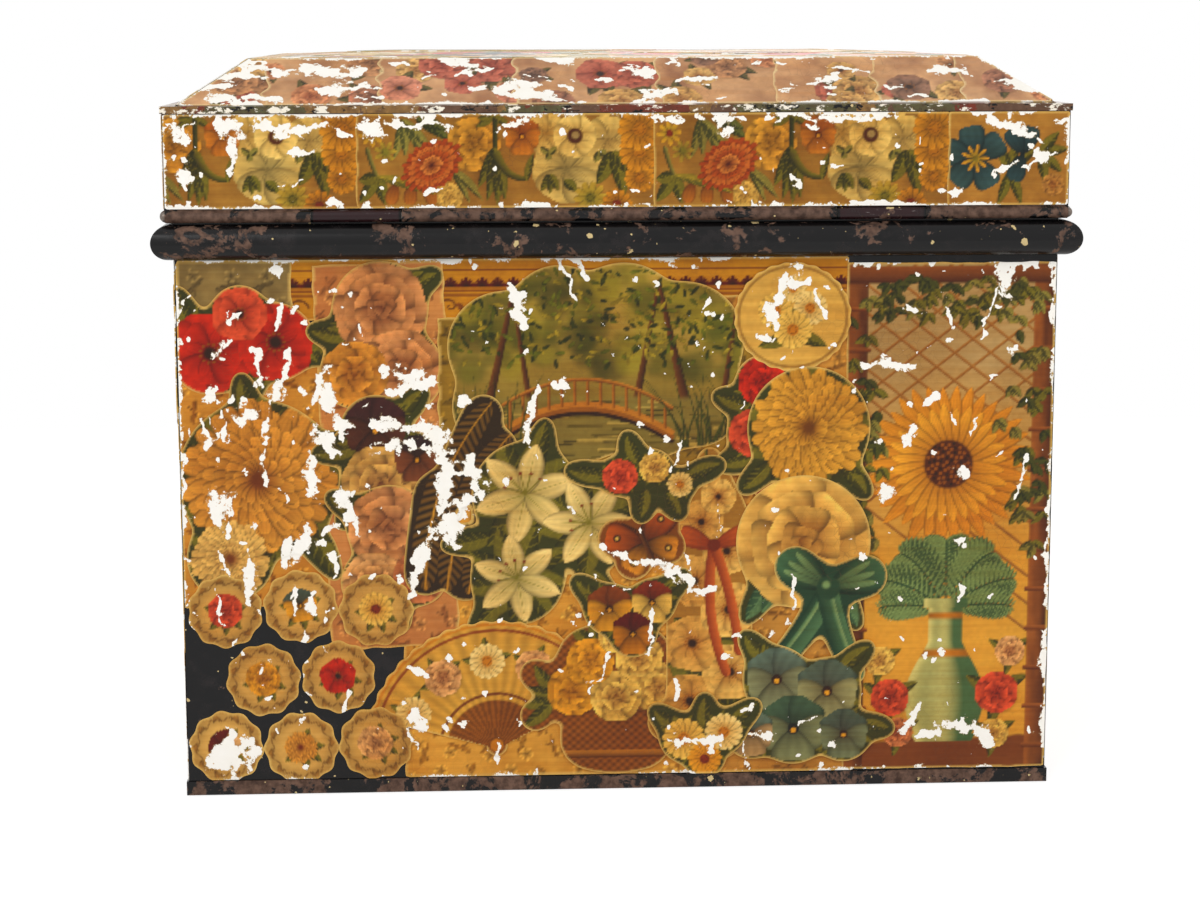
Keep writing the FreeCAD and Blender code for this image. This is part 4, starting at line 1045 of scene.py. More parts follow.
read_scrapes("skirt_back", (
    (173, 118, 187, 138, 12), (222, 120, 239, 129, 16), (233, 138, 230, 169, 7), (253, 123, 285, 129, 9),
    (294, 126, 328, 123, 7), (288, 152, 311, 149, 9), (179, 166, 190, 181, 9), (173, 204, 190, 205, 7),
    (360, 126, 377, 132, 10), (385, 123, 446, 125, 7), (500, 122, 526, 122, 6), (520, 201, 552, 202, 6),
    (647, 117, 681, 121, 6), (691, 118, 741, 118, 6), (722, 131, 728, 131, 12), (769, 117, 894, 118, 5),
    (988, 121, 1038, 134, 8), (747, 206, 806, 206, 5), (853, 204, 928, 204, 5), (625, 204, 656, 206, 5)),
    middle=618.0, top=112.0, top_v=318.0, px_per_mm=2.2)
strew_scrapes("slope_back", 44, 21, (5, 22), (1.2, 3.6), (-25, 25), 1.6)
strew_scrapes("slope_back", 60, 22, (2, 9), (0.5, 1.3), (-30, 30), 0.6)
WALL_COUNTS = (("front", 75, 0.5), ("left", 50, 0.0), ("right", 45, 0.6), ("back", 40, 0.3))
for k, (face, count, lean) in enumerate(WALL_COUNTS):
    strew_scrapes(face, count, 31 + k, (3, 24), (0.4, 1.0) if face == "back" else (0.6, 2.6), (60, 120), lean)
for k, face in enumerate(("skirt_front", "skirt_left", "skirt_right", "skirt_back")):
    strew_scrapes(face, 12 if face == "skirt_back" else 22, 41 + k, (3, 14), (0.6, 2.0), (-20, 40))
for k, face in enumerate(("slope_front", "slope_left", "slope_right", "top", "top")):
    strew_scrapes(face, 60, 51 + k, (4, 24), (0.8, 3.6), (-30, 40), 0.4)
SPECK_COUNTS = (("back", 190, 0.35), ("front", 90, 0.3), ("left", 60, 0.0), ("right", 60, 0.3),
                ("skirt_back", 60, 0.2), ("skirt_front", 40, 0.0))
for k, (face, count, lean) in enumerate(SPECK_COUNTS):
    strew_scrapes(face, count, 61 + k, (0.2, 2.6), (0.6, 1.4), (0, 180), lean)
print({name: len(face.scrapes) for name, face in faces.items()})


# %% [markdown]
# ## Ground papers
# The first layer is sheets of paper with small sprigs, pasted over most of the black. A gold border with a row of
# palmettes, an ornament as old as Greek temples, runs along the top of each wall.

# %% Ground papers
GROUND_STEP = 1.1
SPRIG_ROW, SPRIG_GAP = 13.0, 16.0
PALMETTE_GAP, SCROLL_GAP = 7.2, 28.0
SCROLL = ink("6E4410")
GROUNDS = ((ink("B07A34"), ink("DDB467")), (ink("B98468"), ink("D9AC8C")), (ink("C79A4C"), ink("E3C37E")),
           (ink("7E7A4C"), ink("B4A66C")))
OCHRE_GROUND, PINK_GROUND, MEADOW_GROUND = GROUNDS[:3]


def wash(first, second, size, seed):
    """A cloudy ground of two colours."""
    def draw(p):
        share = 0.5 + 0.35 * cloud(p.a + 200, p.b + 200, size, seed) + 0.2 * cloud(p.a, p.b + 90, size / 4, seed + 1)
        p.rgb[:] = between(first, second, np.clip(share, 0, 1))
    return draw


def sprigged(first, second, size, seed):
    """A cloudy ground with small printed sprigs in staggered rows, as on wallpaper."""
    def draw(p):
        wash(first, second, size, seed)(p)
        random = np.random.default_rng(seed)
        deep, pale = first * 0.45, np.clip(second * 1.3, 0, 1)
        for row, y in enumerate(np.arange(p.b.min(), p.b.max(), SPRIG_ROW)):
            for x in np.arange(p.a.min() + SPRIG_GAP / 2 * (row % 2), p.a.max(), SPRIG_GAP):
                turn = random.uniform(0, 360)
                way = math.radians(turn)
                head = away(x, y, way, 3)
                p.stroke((away(x, y, way, -6), head), 0.9, deep)
                leaves(p, *away(x, y, way, -2), (turn - 50, turn + 130), 6.0, 0.4, deep, first * 0.8)
                for spoke in spokes(5, turn):
                    p.petal(*head, spoke, 3.2, 2.6, deep, pale, 0.2)
    return draw


def gold_border(p):
    wash(ink("BC8E24"), ink("D2A62E"), 9.0, 5)(p)
    for level, width in ((8.6, 0.7), (-1.2, 0.6), (-3.0, 0.9)):
        p.line(p.b - level, width / 2, MAROON, 0.8)
    p.line(p.b - 0.2, 1.0, DEEP_GOLD, 0.5, 0.5)
    for x in np.arange(-135, 136, PALMETTE_GAP):
        for turn in (20, 55, 90, 125, 160):
            length = 4.6 if turn == 90 else 3.9
            p.petal(x, 0.8, math.radians(turn), length, 1.7, DEEP_BROWN, MAROON, 0.3, 1.0, 0.1)
        p.dab(x + PALMETTE_GAP / 2, 1.4, 0.8, MAROON)
    t = np.linspace(0, 7.5, 22)
    curl_a, curl_b = 7 + 5.5 * np.exp(-0.28 * t) * np.cos(t), -8.2 + 4.6 * np.exp(-0.28 * t) * np.sin(t)
    for x in np.arange(-126, 130, SCROLL_GAP):
        for side in (-1, 1):
            p.stroke(np.stack((x + side * curl_a, curl_b), 1), 1.1, SCROLL, 0.5)
            p.petal(x, -11.5, math.radians(90 - side * 35), 6.0, 2.6, SCROLL, DEEP_GOLD, 0.4)


def ground(name, face, at, w, h, draw, turn=0.0):
    step = max(GROUND_STEP, faces[face].step)
    paste(name, face, at, (w + 2, h + 2), card_edge(w, h, 0.6, len(scraps)), draw, turn, step=step)


paste("border_back", "back", (-29.0, 238.0), (137, 16), card_edge(135, 14.2), gold_border)
ground("ochre_sheet", "back", (-150.0, 152.0), 54, 62, sprigged(*OCHRE_GROUND, 26.0, 7))
ground("meadow_sheet", "back", (-19.0, 87.0), 82, 84, sprigged(*MEADOW_GROUND, 24.0, 10))
ground("sand_sheet", "back", (78.0, 120.0), 33, 114, sprigged(ink("AE854A"), ink("D2AD70"), 20.0, 11))
ground("grey_sheet", "back", (-177.0, 228.0), 27, 25, sprigged(ink("7E7460"), ink("A39A84"), 12.0, 8))
ground("pink_sheet", "back", (-108.0, 160.0), 30, 90, sprigged(*PINK_GROUND, 22.0, 9), 2)
print(len(scraps), "ground papers on the back")


# %% [markdown]
# ## Posies
# Most scraps were die-cut round their flowers. A posy is a list of flowers and leaves: the list draws the print,
# and the same list gives the cut line, so the scissors always follow the picture.

# %% Posies
# Where a blob lies along its leaf, and its radius, both in parts of the leaf's length.
LEAF_BLOBS = ((0.25, 0.13), (0.5, 0.18), (0.75, 0.11), (0.95, 0.03))


def posy(name, face, at, flowers, sprigs=(), tones=(DEEP_LEAF, OLIVE)):
    blobs = [(x, y, r * 0.97) for kind, x, y, r, *rest in flowers]
    for x, y, way, length in sprigs:
        blobs += [(*away(x, y, math.radians(way), share * length), fat * length) for share, fat in LEAF_BLOBS]

    def draw(p):
        for x, y, way, length in sprigs:
            leaves(p, x, y, (way,), length, 0.4, *tones)
        for kind, x, y, r, *rest in flowers:
            leaves(p, x, y, range(int(x) % 40, 360, 40), r * 1.25, 0.42, *tones)
        for kind, x, y, r, *rest in flowers:
            kind(p, x, y, r, *rest)

    paste(name, face, at, *die_cut(blobs, 1.6), draw, card=LEAF * 0.6)


posy("poppies", "back", (-172.0, 211.0),
     ((poppy, -16, -2, 18, DEEP_RED, RED, 0.3), (poppy, 14, 3, 17, DEEP_RED, RED, 1.1),
      (poppy, -2, 16, 12, DEEP_RED, ROSE, 0.6)),
     ((-24, 8, 110, 20), (6, -8, 250, 20), (24, 0, 350, 18)))
posy("great_chrysanthemum", "back", (-167.0, 150.0),
     ((chrysanthemum, 0, 0, 37, OCHRE_DEEP, OCHRE_PALE, 3, 6), (chrysanthemum, -14, -37, 19, OCHRE_DEEP, BUFF, 4, 5)),
     ((20, -20, 300, 30), (26, 12, 20, 22), (-4, 30, 100, 18)))
posy("peonies", "back", (-110.0, 212.0),
     ((rose, 0, 17, 21, PEONY_DEEP, PEONY, 1), (rose, 9, -12, 19, PEONY_DEEP, PEONY, 3),
      (rose, -12, -13, 15, OCHRE_DEEP, OCHRE_PALE, 5)),
     ((-14, 4, 170, 18), (14, 26, 30, 14)))
posy("dark_pansies", "back", (-113.0, 165.0),
     ((pansy, 0, 8, 15, ink("4A2A3A"), ink("5E3A34"), DEEP_BROWN), (rose, 2, -18, 18, PEONY_DEEP, BUFF, 2),
      (pansy, 19, -6, 11, ink("3A2C40"), ink("8A5A4A"), DEEP_BROWN)),
     ((-8, 0, 190, 20), (12, 14, 50, 16), (-6, -24, 230, 16)))
posy("rose_fall", "back", (-107.0, 119.0),
     ((rose, 0, 8, 19, PEONY_DEEP, PEONY, 4), (rose, -8, -18, 14, PEONY_DEEP, BLUSH, 6),
      (rose, 13, -16, 12, RUST, PINK, 7)),
     ((-12, 14, 150, 18), (14, 10, 20, 18), (2, -26, 280, 14)))
print(len(scraps), "scraps so far")


# %% [markdown]
# ## Picture papers
# A few larger scraps are little pictures: a pond under trees with a footbridge, a garden trellis with a vase of
# ferns, a painted fan. They are drawn like the flowers, with many small dabs from a seeded random draw. Each is
# kept by name with its reach and its cut line, so that the other sides can use it too.

# %% Pond
BRIDGE_LIGHT = ink("C08C44")
pictures = {}


def pond(p):
    random = np.random.default_rng(77)
    p.rgb[:] = between(ink("6A6028"), ink("C4B676"), np.clip((p.b + 48) / 96, 0, 1))
    for _ in range(150):
        x, y = random.uniform(-72, 72), random.uniform(-4, 48)
        tone = ink("4A5420") if random.uniform() < 0.5 else ink("8C8C3C")
        p.dab(x, y, random.uniform(3, 9), tone * random.uniform(0.5, 1.6), 5.0, 0.55)
    for x, lean, width in ((-50, 6, 4.2), (-32, -4, 3.0), (18, 5, 3.6), (40, -6, 4.6), (58, 4, 3.0)):
        p.stroke(bend((x, -14), (x + lean, 12), (x + 2 * lean, 40)), width, DEEP_BROWN, 0.6, BROWN)
    for _ in range(420):
        x, y = random.uniform(-72, 72), random.uniform(2, 48)
        tone = (ink("6C7A2A"), ink("A09A44"), ink("3E4A1E"))[random.integers(3)]
        p.petal(x, y, random.uniform(0, math.tau), random.uniform(2.5, 6), 1.8,
                tone * 0.6, tone * random.uniform(0.8, 1.5), 0.5)
    shore = p.b + 14 + 2 * cloud(p.a, p.a * 0, 12.0, 4)
    p.lay(ALL, ink("8A8458"), 0.9 * smooth(shore, 3.0))
    for _ in range(120):
        x, y = random.uniform(-72, 72), random.uniform(-46, -16)
        tone = (ink("B7AC7A"), ink("4E4A26"), ink("6A6434"))[random.integers(3)]
        p.stroke(((x, y), (x + random.uniform(5, 16), y)), random.uniform(0.6, 1.6), tone, 0.5)
    for low, tone in ((-24.5, DEEP_BROWN), (-22.5, ink("9A6A30")), (-20.5, BRIDGE_LIGHT)):
        p.stroke(bend((-44, low - 8), (-6, low + 16), (34, low - 10), 24), 2.6, tone)
    for t in np.linspace(0.04, 0.96, 13):
        x = -44 + 78 * t
        y = (1 - t) ** 2 * -28.5 + 2 * t * (1 - t) * -4.5 + t * t * -30.5
        p.stroke(((x, y), (x, y + 11)), 1.3, ink("7A4A20"), 0.0, BRIDGE_LIGHT)
    p.stroke(bend((-44, -17), (-6, 7), (34, -19), 24), 1.7, ink("6A3C18"), 0.0, ink("CE9A52"))
    for _ in range(46):
        x = random.choice((-58, 52)) + random.normal(0, 9)
        reed = bend((x, -42), (x + random.normal(0, 3), -26), (x + random.normal(0, 9), -8 + random.normal(0, 5)))
        p.stroke(reed, 1.5, DEEP_LEAF, 0.9, ink("5C6A34"))


pond_blobs = [(-44, 10, 24), (-18, 24, 22), (12, 22, 25), (40, 12, 26),
              (-46, -18, 20), (-12, -16, 28), (22, -16, 26), (46, -16, 20)]
pictures["pond"] = (*die_cut(pond_blobs, 1.5), pond)
ground("moss_sheet", "back", (-8.0, 187.5), 76, 37, sprigged(ink("86742F"), ink("B09A4C"), 20.0, 13))
paste("pond_picture", "back", (-10.0, 201.0), *pictures["pond"])
print("pond:", len(scraps[-1].data.vertices), "points")


# %% Trellis with a vase of ferns
POST_X = 43.5
SUN_Y = 26


def brushed_post(p, x, half, dark, light):
    spots = np.flatnonzero(np.abs(p.a - x) < half + 1)
    side = (p.a[spots] - x) / half
    lit = 0.55 - 0.45 * side + 0.25 * cloud(p.a[spots] * 6, p.b[spots], 14.0, 6)
    p.lay(spots, between(dark, light, np.clip(lit, 0, 1)), smooth(np.abs(p.a[spots] - x) - half, 0.8))


def vase(p, x, low, high, wide, dark, light):
    """A turned vase, lit from the left, with two gilt bands."""
    spots = np.flatnonzero((p.b > low) & (p.b < high) & (np.abs(p.a - x) < wide + 1))
    t = (p.b[spots] - low) / (high - low)
    belly = np.sin(np.clip(t * 1.25 + 0.12, 0, 1) * math.pi) ** 1.2
    half = wide * (0.42 + 0.58 * belly + 0.12 * (t > 0.93) + 0.1 * (t < 0.06))
    side = (p.a[spots] - x) / half
    tone = between(dark, light, np.clip(0.5 - 0.62 * side + 0.25 * np.cos(side * 5), 0, 1))
    bands = np.maximum(smooth(np.abs(t - 0.62) - 0.025, 0.03), smooth(np.abs(t - 0.88) - 0.02, 0.03))
    tone = between(tone, GOLD * (1.1 - 0.5 * np.abs(side))[:, None], bands)
    p.lay(spots, tone, smooth(np.abs(p.a[spots] - x) - half, 0.8))


def fern(p, x, y, turn, length, tones):
    turn = math.radians(turn)
    c, s = math.cos(turn), math.sin(turn)
    rib = bend((x, y), (x + 0.55 * length * c, y + 0.6 * length * s),
               (x + length * c, y + 0.85 * length * s - 0.15 * length), 16)
    for k in range(2, 16):
        way = math.atan2(*(rib[k] - rib[k - 1])[::-1])
        size = length * 0.3 * math.sin(math.pi * (k + 1) / 18)
        for side in (-1, 1):
            p.leaf(*rib[k], way + side * 1.0, size, size * 0.34, *tones)
    p.stroke(rib, 0.9, tones[0])


def trellis(p):
    random = np.random.default_rng(88)
    share = np.clip((p.b + 10 + 16 * cloud(p.a, p.b, 30.0, 12)) / 80, 0, 1)
    p.rgb[:] = between(ink("DAB25E"), ink("B6A698"), share)
    for k in range(-3, 12):
        for side in (-1, 1):
            lath = ((-40, 46 + 13 * k), (40, 46 + 13 * k + side * 62))
            p.stroke(lath, 1.3, ink("8A6038"), 0.0, ink("B48A58"))
    p.lay(ALL, ink("82502C"), smooth(p.b + 106 + 2 * cloud(p.a, p.b, 9.0, 3), 2.0))
    for turn in spokes(34):
        p.petal(0, SUN_Y, turn, random.uniform(36, 42), 8.5, DEEP_GOLD, ink("DFA640"), 0.75, 0.7, 0.5)
    for turn in spokes(28, 0.1):
        p.petal(0, SUN_Y, turn, random.uniform(26, 30), 6.5, ink("9A5A18"), ink("E8B850"), 0.6, 0.8, 0.5)
    p.dab(0, SUN_Y, 11.5, ink("5A3214"), 1.5)
    for k in range(70):
        seed = away(0, SUN_Y, k * 2.4, 10.5 * math.sqrt(k / 70))
        p.dab(*seed, 0.8, ink("9A6424") if k % 3 else DEEP_BROWN, 0.5)
    for turn, length in ((90, 48), (62, 46), (118, 46), (38, 40), (142, 40), (14, 32), (166, 32)):
        fern(p, 0, -44, turn, length, (ink("34564C"), ink("86A88E")) if turn % 4 else (LEAF, ink("B0B078")))
    vase(p, 0, -108, -38, 19, ink("527A6C"), ink("D2DCC2"))
    for x, y, r, deep, pale in (
            (-26, -86, 9, DEEP_RED, ROSE), (25, -84, 10, DEEP_RED, ROSE), (-31, -68, 7, OCHRE_DEEP, PALE),
            (31, -64, 7, RUST, BLUSH), (-22, -103, 7, DEEP_RED, PINK), (24, -104, 7, OCHRE_DEEP, PALE)):
        leaves(p, x, y, (30, 150, 260), r * 1.7)
        rose(p, x, y, r, deep, pale, x)
    for x in (-POST_X, POST_X):
        brushed_post(p, x, 4.6, ink("4A2616"), ink("A06A40"))
        for y in range(-110, 116, 19):
            p.stroke(((x - 5.4, y), (x + 5.4, y)), 2.2, ink("5A2E1A"), 0.0, ink("A87048"))
    p.stroke(((-49, 115), (49, 115)), 8.0, ink("4E2A18"), 0.0, ink("9A643C"))
    for _ in range(110):
        x = random.choice((-38, 38)) + random.normal(0, 5)
        y = random.uniform(-20, 112) if random.uniform() < 0.75 else random.uniform(96, 114)
        x = x if y < 96 else random.uniform(-42, 42)
        tones = ((DEEP_LEAF, LEAF), (ink("3A4224"), SAGE), (DEEP_LEAF, OLIVE))[random.integers(3)]
        for turn in (-40, 0, 40):
            p.leaf(x, y, math.radians(270 + turn) + random.normal(0, 0.5), random.uniform(5, 8), 3.6, *tones)


pictures["trellis"] = ((51, 123), card_edge(48.6, 120.6), trellis)
paste("trellis_picture", "back", (154.0, 128.0), *pictures["trellis"])
print("trellis:", len(scraps[-1].data.vertices), "points")


# %% [markdown]
# ## The middle of the back
# Dark plumes and pale lilies stand over a painted fan and a basket of roses. A tall hollyhock with a rust
# ribbon stands beside them, and a teal bow with pansies closes the group on the right.

# %% Plumes, lilies and fan
FOLDS = 44


def plumes(p):
    for start, middle, end, width in (((-14, -46), (-20, 4), (8, 44), 15), ((-4, -46), (-4, 0), (18, 30), 14),
                                      ((6, -46), (12, -10), (20, 8), 13)):
        quill = bend(start, middle, end, 20)
        p.stroke(quill, width, ink("2C2418"), 0.15, ink("7A6238"), 150.0)
        p.stroke(quill, 1.0, ink("C9A24C"), 0.6)


plume_blobs = [(-15 + 0.2 * k, -40 + 8 * k, 8) for k in range(6)]
plume_blobs += [(-6 + 2.2 * k, 4 + 7 * k, 7.5) for k in range(6)]
plume_blobs += [(14, 24, 7), (8, 6, 9), (14, -8, 8), (4, -26, 11), (4, -40, 9)]
paste("plumes", "back", (-72.0, 142.0), *die_cut(plume_blobs, 1.0), plumes, -6, ink("3A2E1C"))
posy("lilies", "back", (-38.0, 122.0),
     ((lily, -6, 20, 24, 0.3), (lily, 24, 6, 22, 1.0), (lily, -10, -20, 21, 0.7)),
     ((0, 34, 80, 20), (30, 20, 40, 22), (-22, 0, 190, 22), (18, -16, 320, 24), (-18, -30, 230, 20)))


def fan(p):
    far, folds = np.hypot(p.a, p.b), np.cos(np.arctan2(p.b, p.a) * FOLDS)
    p.rgb[:] = ink("D6B468") * (0.92 + 0.13 * folds)[:, None]
    p.lay(ALL, ink("8A5A24") * (1 + 0.2 * np.sign(folds))[:, None], smooth(far - 24, 1.2))
    for radius, tone in ((60.5, GOLD), (27, MAROON), (57.5, RUST)):
        p.line(far - radius, 0.7, tone, 0.85)
    for k in range(5):
        turn = 30 + 30 * k
        x, y = away(0, 0, math.radians(turn), 43)
        leaves(p, x, y, (turn - 80, turn + 80, turn), 12)
        if k % 2:
            rose(p, x, y, 8.5, RUST, BLUSH, k)
        else:
            daisy(p, x, y, 8.5, STRAW, CHALK, GOLD)
    p.dab(0, 2, 3.0, GOLD, 0.6)


def fan_edge(a, b):
    turn = np.arctan2(b, a)
    arc, sides = np.hypot(a, b) - 62 - 0.5 * np.cos(turn * FOLDS), np.abs(turn - math.pi / 2) * 60 - 72
    return np.minimum(np.where(b > -4, np.maximum(arc, sides), 50), np.hypot(a, b - 2) - 5)


pictures["fan"] = ((64, 66), fan_edge, fan)
paste("painted_fan", "back", (-58.0, 20.0), *pictures["fan"], 6)
print(len(scraps), "scraps so far")


# %% Basket, hollyhock and red roses
HOLLYHOCKS = ((-9, -48, 13), (10, -34, 13), (-8, -20, 13), (9, -4, 13), (-7, 10, 12), (8, 24, 11), (-4, 38, 10),
              (4, 50, 8), (-1, 61, 6))


def basket(p):
    p.rgb[:] = ink("8A5A28") * (1 + 0.45 * np.sin(p.a * 1.5) * np.sin(p.b * 1.7))[:, None]
    for y in (-27, -5):
        p.stroke(((-30, y), (30, y)), 3.4, ink("5E3814"), 0.0, ink("C08E48"))
    for x, y, turn in ((-28, 2, 150), (28, 2, 30), (-10, 24, 110), (12, 25, 70), (-30, -2, 200), (30, -2, 340)):
        leaves(p, x, y, (turn - 25, turn + 20), 18)
    for k, (x, y, r) in enumerate(((-20, 4, 12), (20, 5, 12), (0, 1, 12), (-12, 18, 11), (11, 19, 11), (0, 30, 8))):
        rose(p, x, y, r, *((OCHRE_DEEP, PALE) if k % 3 else (ink("A06A20"), YELLOW)), k)


basket_blobs = [(-12, -20, 12), (12, -20, 12), (0, -20, 14), (-22, 4, 13), (22, 4, 13), (0, 10, 16), (-13, 20, 12),
                (12, 20, 12), (0, 30, 9), (-38, 12, 5), (38, 12, 5), (-38, -8, 5), (38, -8, 5)]
pictures["basket"] = (*die_cut(basket_blobs), basket)
paste("rose_basket", "back", (-2.0, 44.0), *pictures["basket"])


def hollyhock(p):
    p.stroke(bend((0, -72), (3, 0), (-2, 74)), 3.2, DEEP_LEAF, 0.6, OLIVE)
    for k, y in enumerate((-56, -40, -22)):
        leaves(p, 0, y, (20 + 10 * k, 160 - 10 * k, 205, 335), 22, 0.6)
    for k, (x, y, r) in enumerate(HOLLYHOCKS):
        poppy(p, x, y, r, ink("A8743A"), ink("EBD3A0") if k % 2 else ink("DDBE88"), k)
    for points in (bend((-14, 30), (6, 22), (15, 34)), bend((2, 27), (-4, -4), (8, -34)),
                   bend((2, 27), (12, 0), (14, -24))):
        p.stroke(points, 5.0, RUST, 0.1, ink("CE7A4C"))
    for turn in (160, 20):
        p.petal(2, 27, math.radians(turn), 17, 10, RUST, ink("C8703E"), 0.2)
    p.dab(2, 27, 3.0, ink("7A3418"), 0.8)


holly_blobs = [(0, y, 17) for y in range(-60, 40, 8)]
holly_blobs += [(0, 46, 13), (0, 58, 8), (0, 68, 4), (-20, -58, 8), (20, -58, 8)]
pictures["hollyhock"] = (*die_cut(holly_blobs, 1.0), hollyhock)
paste("hollyhock", "back", (42.0, 90.0), *pictures["hollyhock"], 0, ink("A88648"))
posy("red_roses", "back", (66.0, 172.0),
     ((rose, 0, 22, 11, DEEP_RED, RED, 2), (rose, -4, -2, 11, DEEP_RED, ROSE, 4),
      (rose, 6, -24, 10, DEEP_RED, RED, 5)),
     ((4, 10, 20, 18), (-6, 10, 160, 16), (4, -12, 350, 16), (-4, -14, 190, 16)))
print(len(scraps), "scraps so far")


# %% Oval, blooms, ribbon and pansies
OVAL_W, OVAL_H = 27, 25


def daisies(p):
    p.rgb[:] = ink("D9BE82") * (1 + 0.06 * np.cos(p.b))[:, None]
    p.line((np.hypot(p.a / OVAL_W, p.b / OVAL_H) - 0.93) * OVAL_H, 0.6, ink("7A5A30"), 0.6, 0.7)
    leaves(p, 0, -8, (40, 75, 110, 145, 200, 340), 17)
    for k, (x, y, r) in enumerate(((-8, 3, 8), (8, 4, 8), (0, -6, 9), (0, 13, 6))):
        daisy(p, x, y, r, ink("CDB070"), CHALK if k % 2 else PALE, GOLD)


pictures["oval"] = ((29, 27), oval_edge(OVAL_W, OVAL_H, 24, 0.012), daisies)
paste("daisy_oval", "back", (80.0, 224.0), *pictures["oval"])
posy("gold_chrysanthemum", "back", (88.0, 172.0),
     ((chrysanthemum, 0, 0, 28, ink("8A5C1C"), ink("E0B860"), 9, 6),), ((-18, -16, 225, 18), (16, -18, 310, 18)))
posy("cream_bloom", "back", (86.0, 118.0), ((rose, 0, 0, 31, ink("9A6A34"), ink("EED49C"), 3),),
     ((14, -20, 300, 24), (-16, -18, 240, 22)), (DEEP_TEAL, TEAL))


def ribbon(p):
    """A satin bow with two tails, its folds lit along their middles."""
    for side in (-1, 1):
        tail = bend((0, 12), (side * 5, -4), (side * 19, -26))
        p.stroke(tail, 10.5, ink("1E4442"), 0.0, ink("5C8C86"))
        p.stroke(tail + (side * 1.6, 0), 2.0, ink("4C7E78"), 0.0, ink("92BAAE"))
        p.petal(0, 14, math.radians(90 - side * 62), 28, 20, ink("16302F"), ink("4C7C78"), 0.2)
        for lean in (50, 64, 76):
            p.petal(0, 14, math.radians(90 - side * lean), 23, 3.6, ink("1C3C3A"), ink("82AEA2"), 0.45)
    p.dab(0, 14, 5.6, ink("2F5654"), 1.2)
    p.dab(-1.2, 15.4, 1.8, ink("82AEA2"), 1.6)


ribbon_blobs = [(0, 14, 6)]
for side in (-1, 1):
    ribbon_blobs += [(side * 9, 18, 8), (side * 17, 22, 9)]
    ribbon_blobs += [(x, y, 4.6) for x, y in bend((0, 12), (side * 5, -4), (side * 18, -25), 7)]
paste("teal_ribbon", "back", (96.0, 82.0), *die_cut(ribbon_blobs, 0.8), ribbon, -8, DEEP_TEAL)
posy("slate_pansies", "back", (84.0, 40.0),
     ((pansy, -10, 12, 15, SLATE, ink("8FA0A2"), DEEP_BROWN),
      (pansy, 14, 6, 15, SLATE * 0.8, ink("A3AFA8"), DEEP_BROWN),
      (pansy, -2, -12, 16, ink("4A6A6C"), ink("8A9C98"), ink("20242C")),
      (pansy, -22, -14, 11, SLATE, LILAC, DEEP_BROWN),
      (pansy, 22, -15, 12, SLATE * 0.7, ink("7C9094"), DEEP_BROWN)),
     ((-14, 20, 130, 18), (20, 16, 40, 18), (-26, -6, 190, 16), (30, -10, 350, 14)))
print(len(scraps), "scraps so far")


# %% Butterfly and small posies
def butterfly(p):
    for side in (-1, 1):
        for turn, length, width, tip in ((35, 19, 15, ink("C8702C")), (-35, 15, 13, ink("DDA548"))):
            way = math.radians(turn) if side > 0 else math.pi - math.radians(turn)
            p.petal(0, 0, way, length, width, DEEP_BROWN, tip, 0.2, 0.9, 0.8)
            eye = away(0, 0, way, 0.72 * length)
            p.dab(*eye, 1.8, DEEP_BROWN, 0.8)
            p.dab(*eye, 0.8, PALE, 0.6)
        p.stroke(bend((0, 6), (side * 3, 10), (side * 6, 13)), 0.8, DEEP_BROWN)
    p.stroke(((0, -9), (0, 7)), 2.8, DEEP_BROWN, 0.3, BROWN)


wing_blobs = [(-11, 8, 8), (11, 8, 8), (-9, -6, 7), (9, -6, 7), (0, 0, 5), (0, 9, 3)]
pictures["butterfly"] = (*die_cut(wing_blobs, 1.0), butterfly)
paste("butterfly", "back", (12.0, 118.0), *pictures["butterfly"], 24, ink("8A5A24"))
posy("ivy_and_buds", "back", (12.0, 148.0),
     ((rose, -12, 2, 8, DEEP_RED, ROSE, 1), (rose, 4, 6, 7, OCHRE_DEEP, PALE, 2),
      (daisy, 16, -2, 6, STRAW, CHALK, GOLD)),
     ((-18, 2, 170, 18), (-4, 8, 110, 14), (20, 2, 20, 16), (0, -4, 260, 14), (10, -6, 300, 12)))
posy("yellow_pansies", "back", (6.0, 84.0),
     ((pansy, -11, 3, 11, OCHRE_DEEP, YELLOW, DEEP_BROWN), (pansy, 9, 6, 10, RUST, PALE, DEEP_BROWN),
      (pansy, 0, -9, 10, MAROON, GOLD, DEEP_BROWN)),
     ((-16, 8, 140, 14), (14, 10, 40, 14)))
posy("meadow_daisies", "back", (40.0, 22.0),
     ((daisy, -10, 2, 10, STRAW, PALE, GOLD), (daisy, 9, 5, 9, STRAW, CHALK, GOLD),
      (daisy, 0, -8, 8, GOLD, YELLOW, RUST)),
     ((-12, 6, 140, 16), (12, 8, 40, 16), (0, 6, 90, 16)))
print(len(scraps), "scraps so far")


# %% [markdown]
# ## Medallions
# The lower left corner holds a staggered group of small scalloped medallions. Bare black japan shows between
# them, and each has one flower in a ring of scrolls.

# %% Medallions
SCALLOPS = 10
MEDALLIONS = (((-184, 88), rose, (DEEP_RED, ROSE, 1)), ((-149, 90), pansy, (SLATE * 0.6, YELLOW, DEEP_BROWN)),
              ((-114, 88), daisy, (GOLD, PALE, RUST)), ((-167, 55), rose, (OCHRE_DEEP, YELLOW, 2)),
              ((-132, 56), poppy, (DEEP_RED, RED, 0.4)), ((-185, 23), pansy, (MAROON, BLUSH, DEEP_BROWN)),
              ((-150, 22), chrysanthemum, (RUST, OCHRE_PALE, 4, 4)), ((-115, 24), rose, (PEONY_DEEP, BLUSH, 6)))


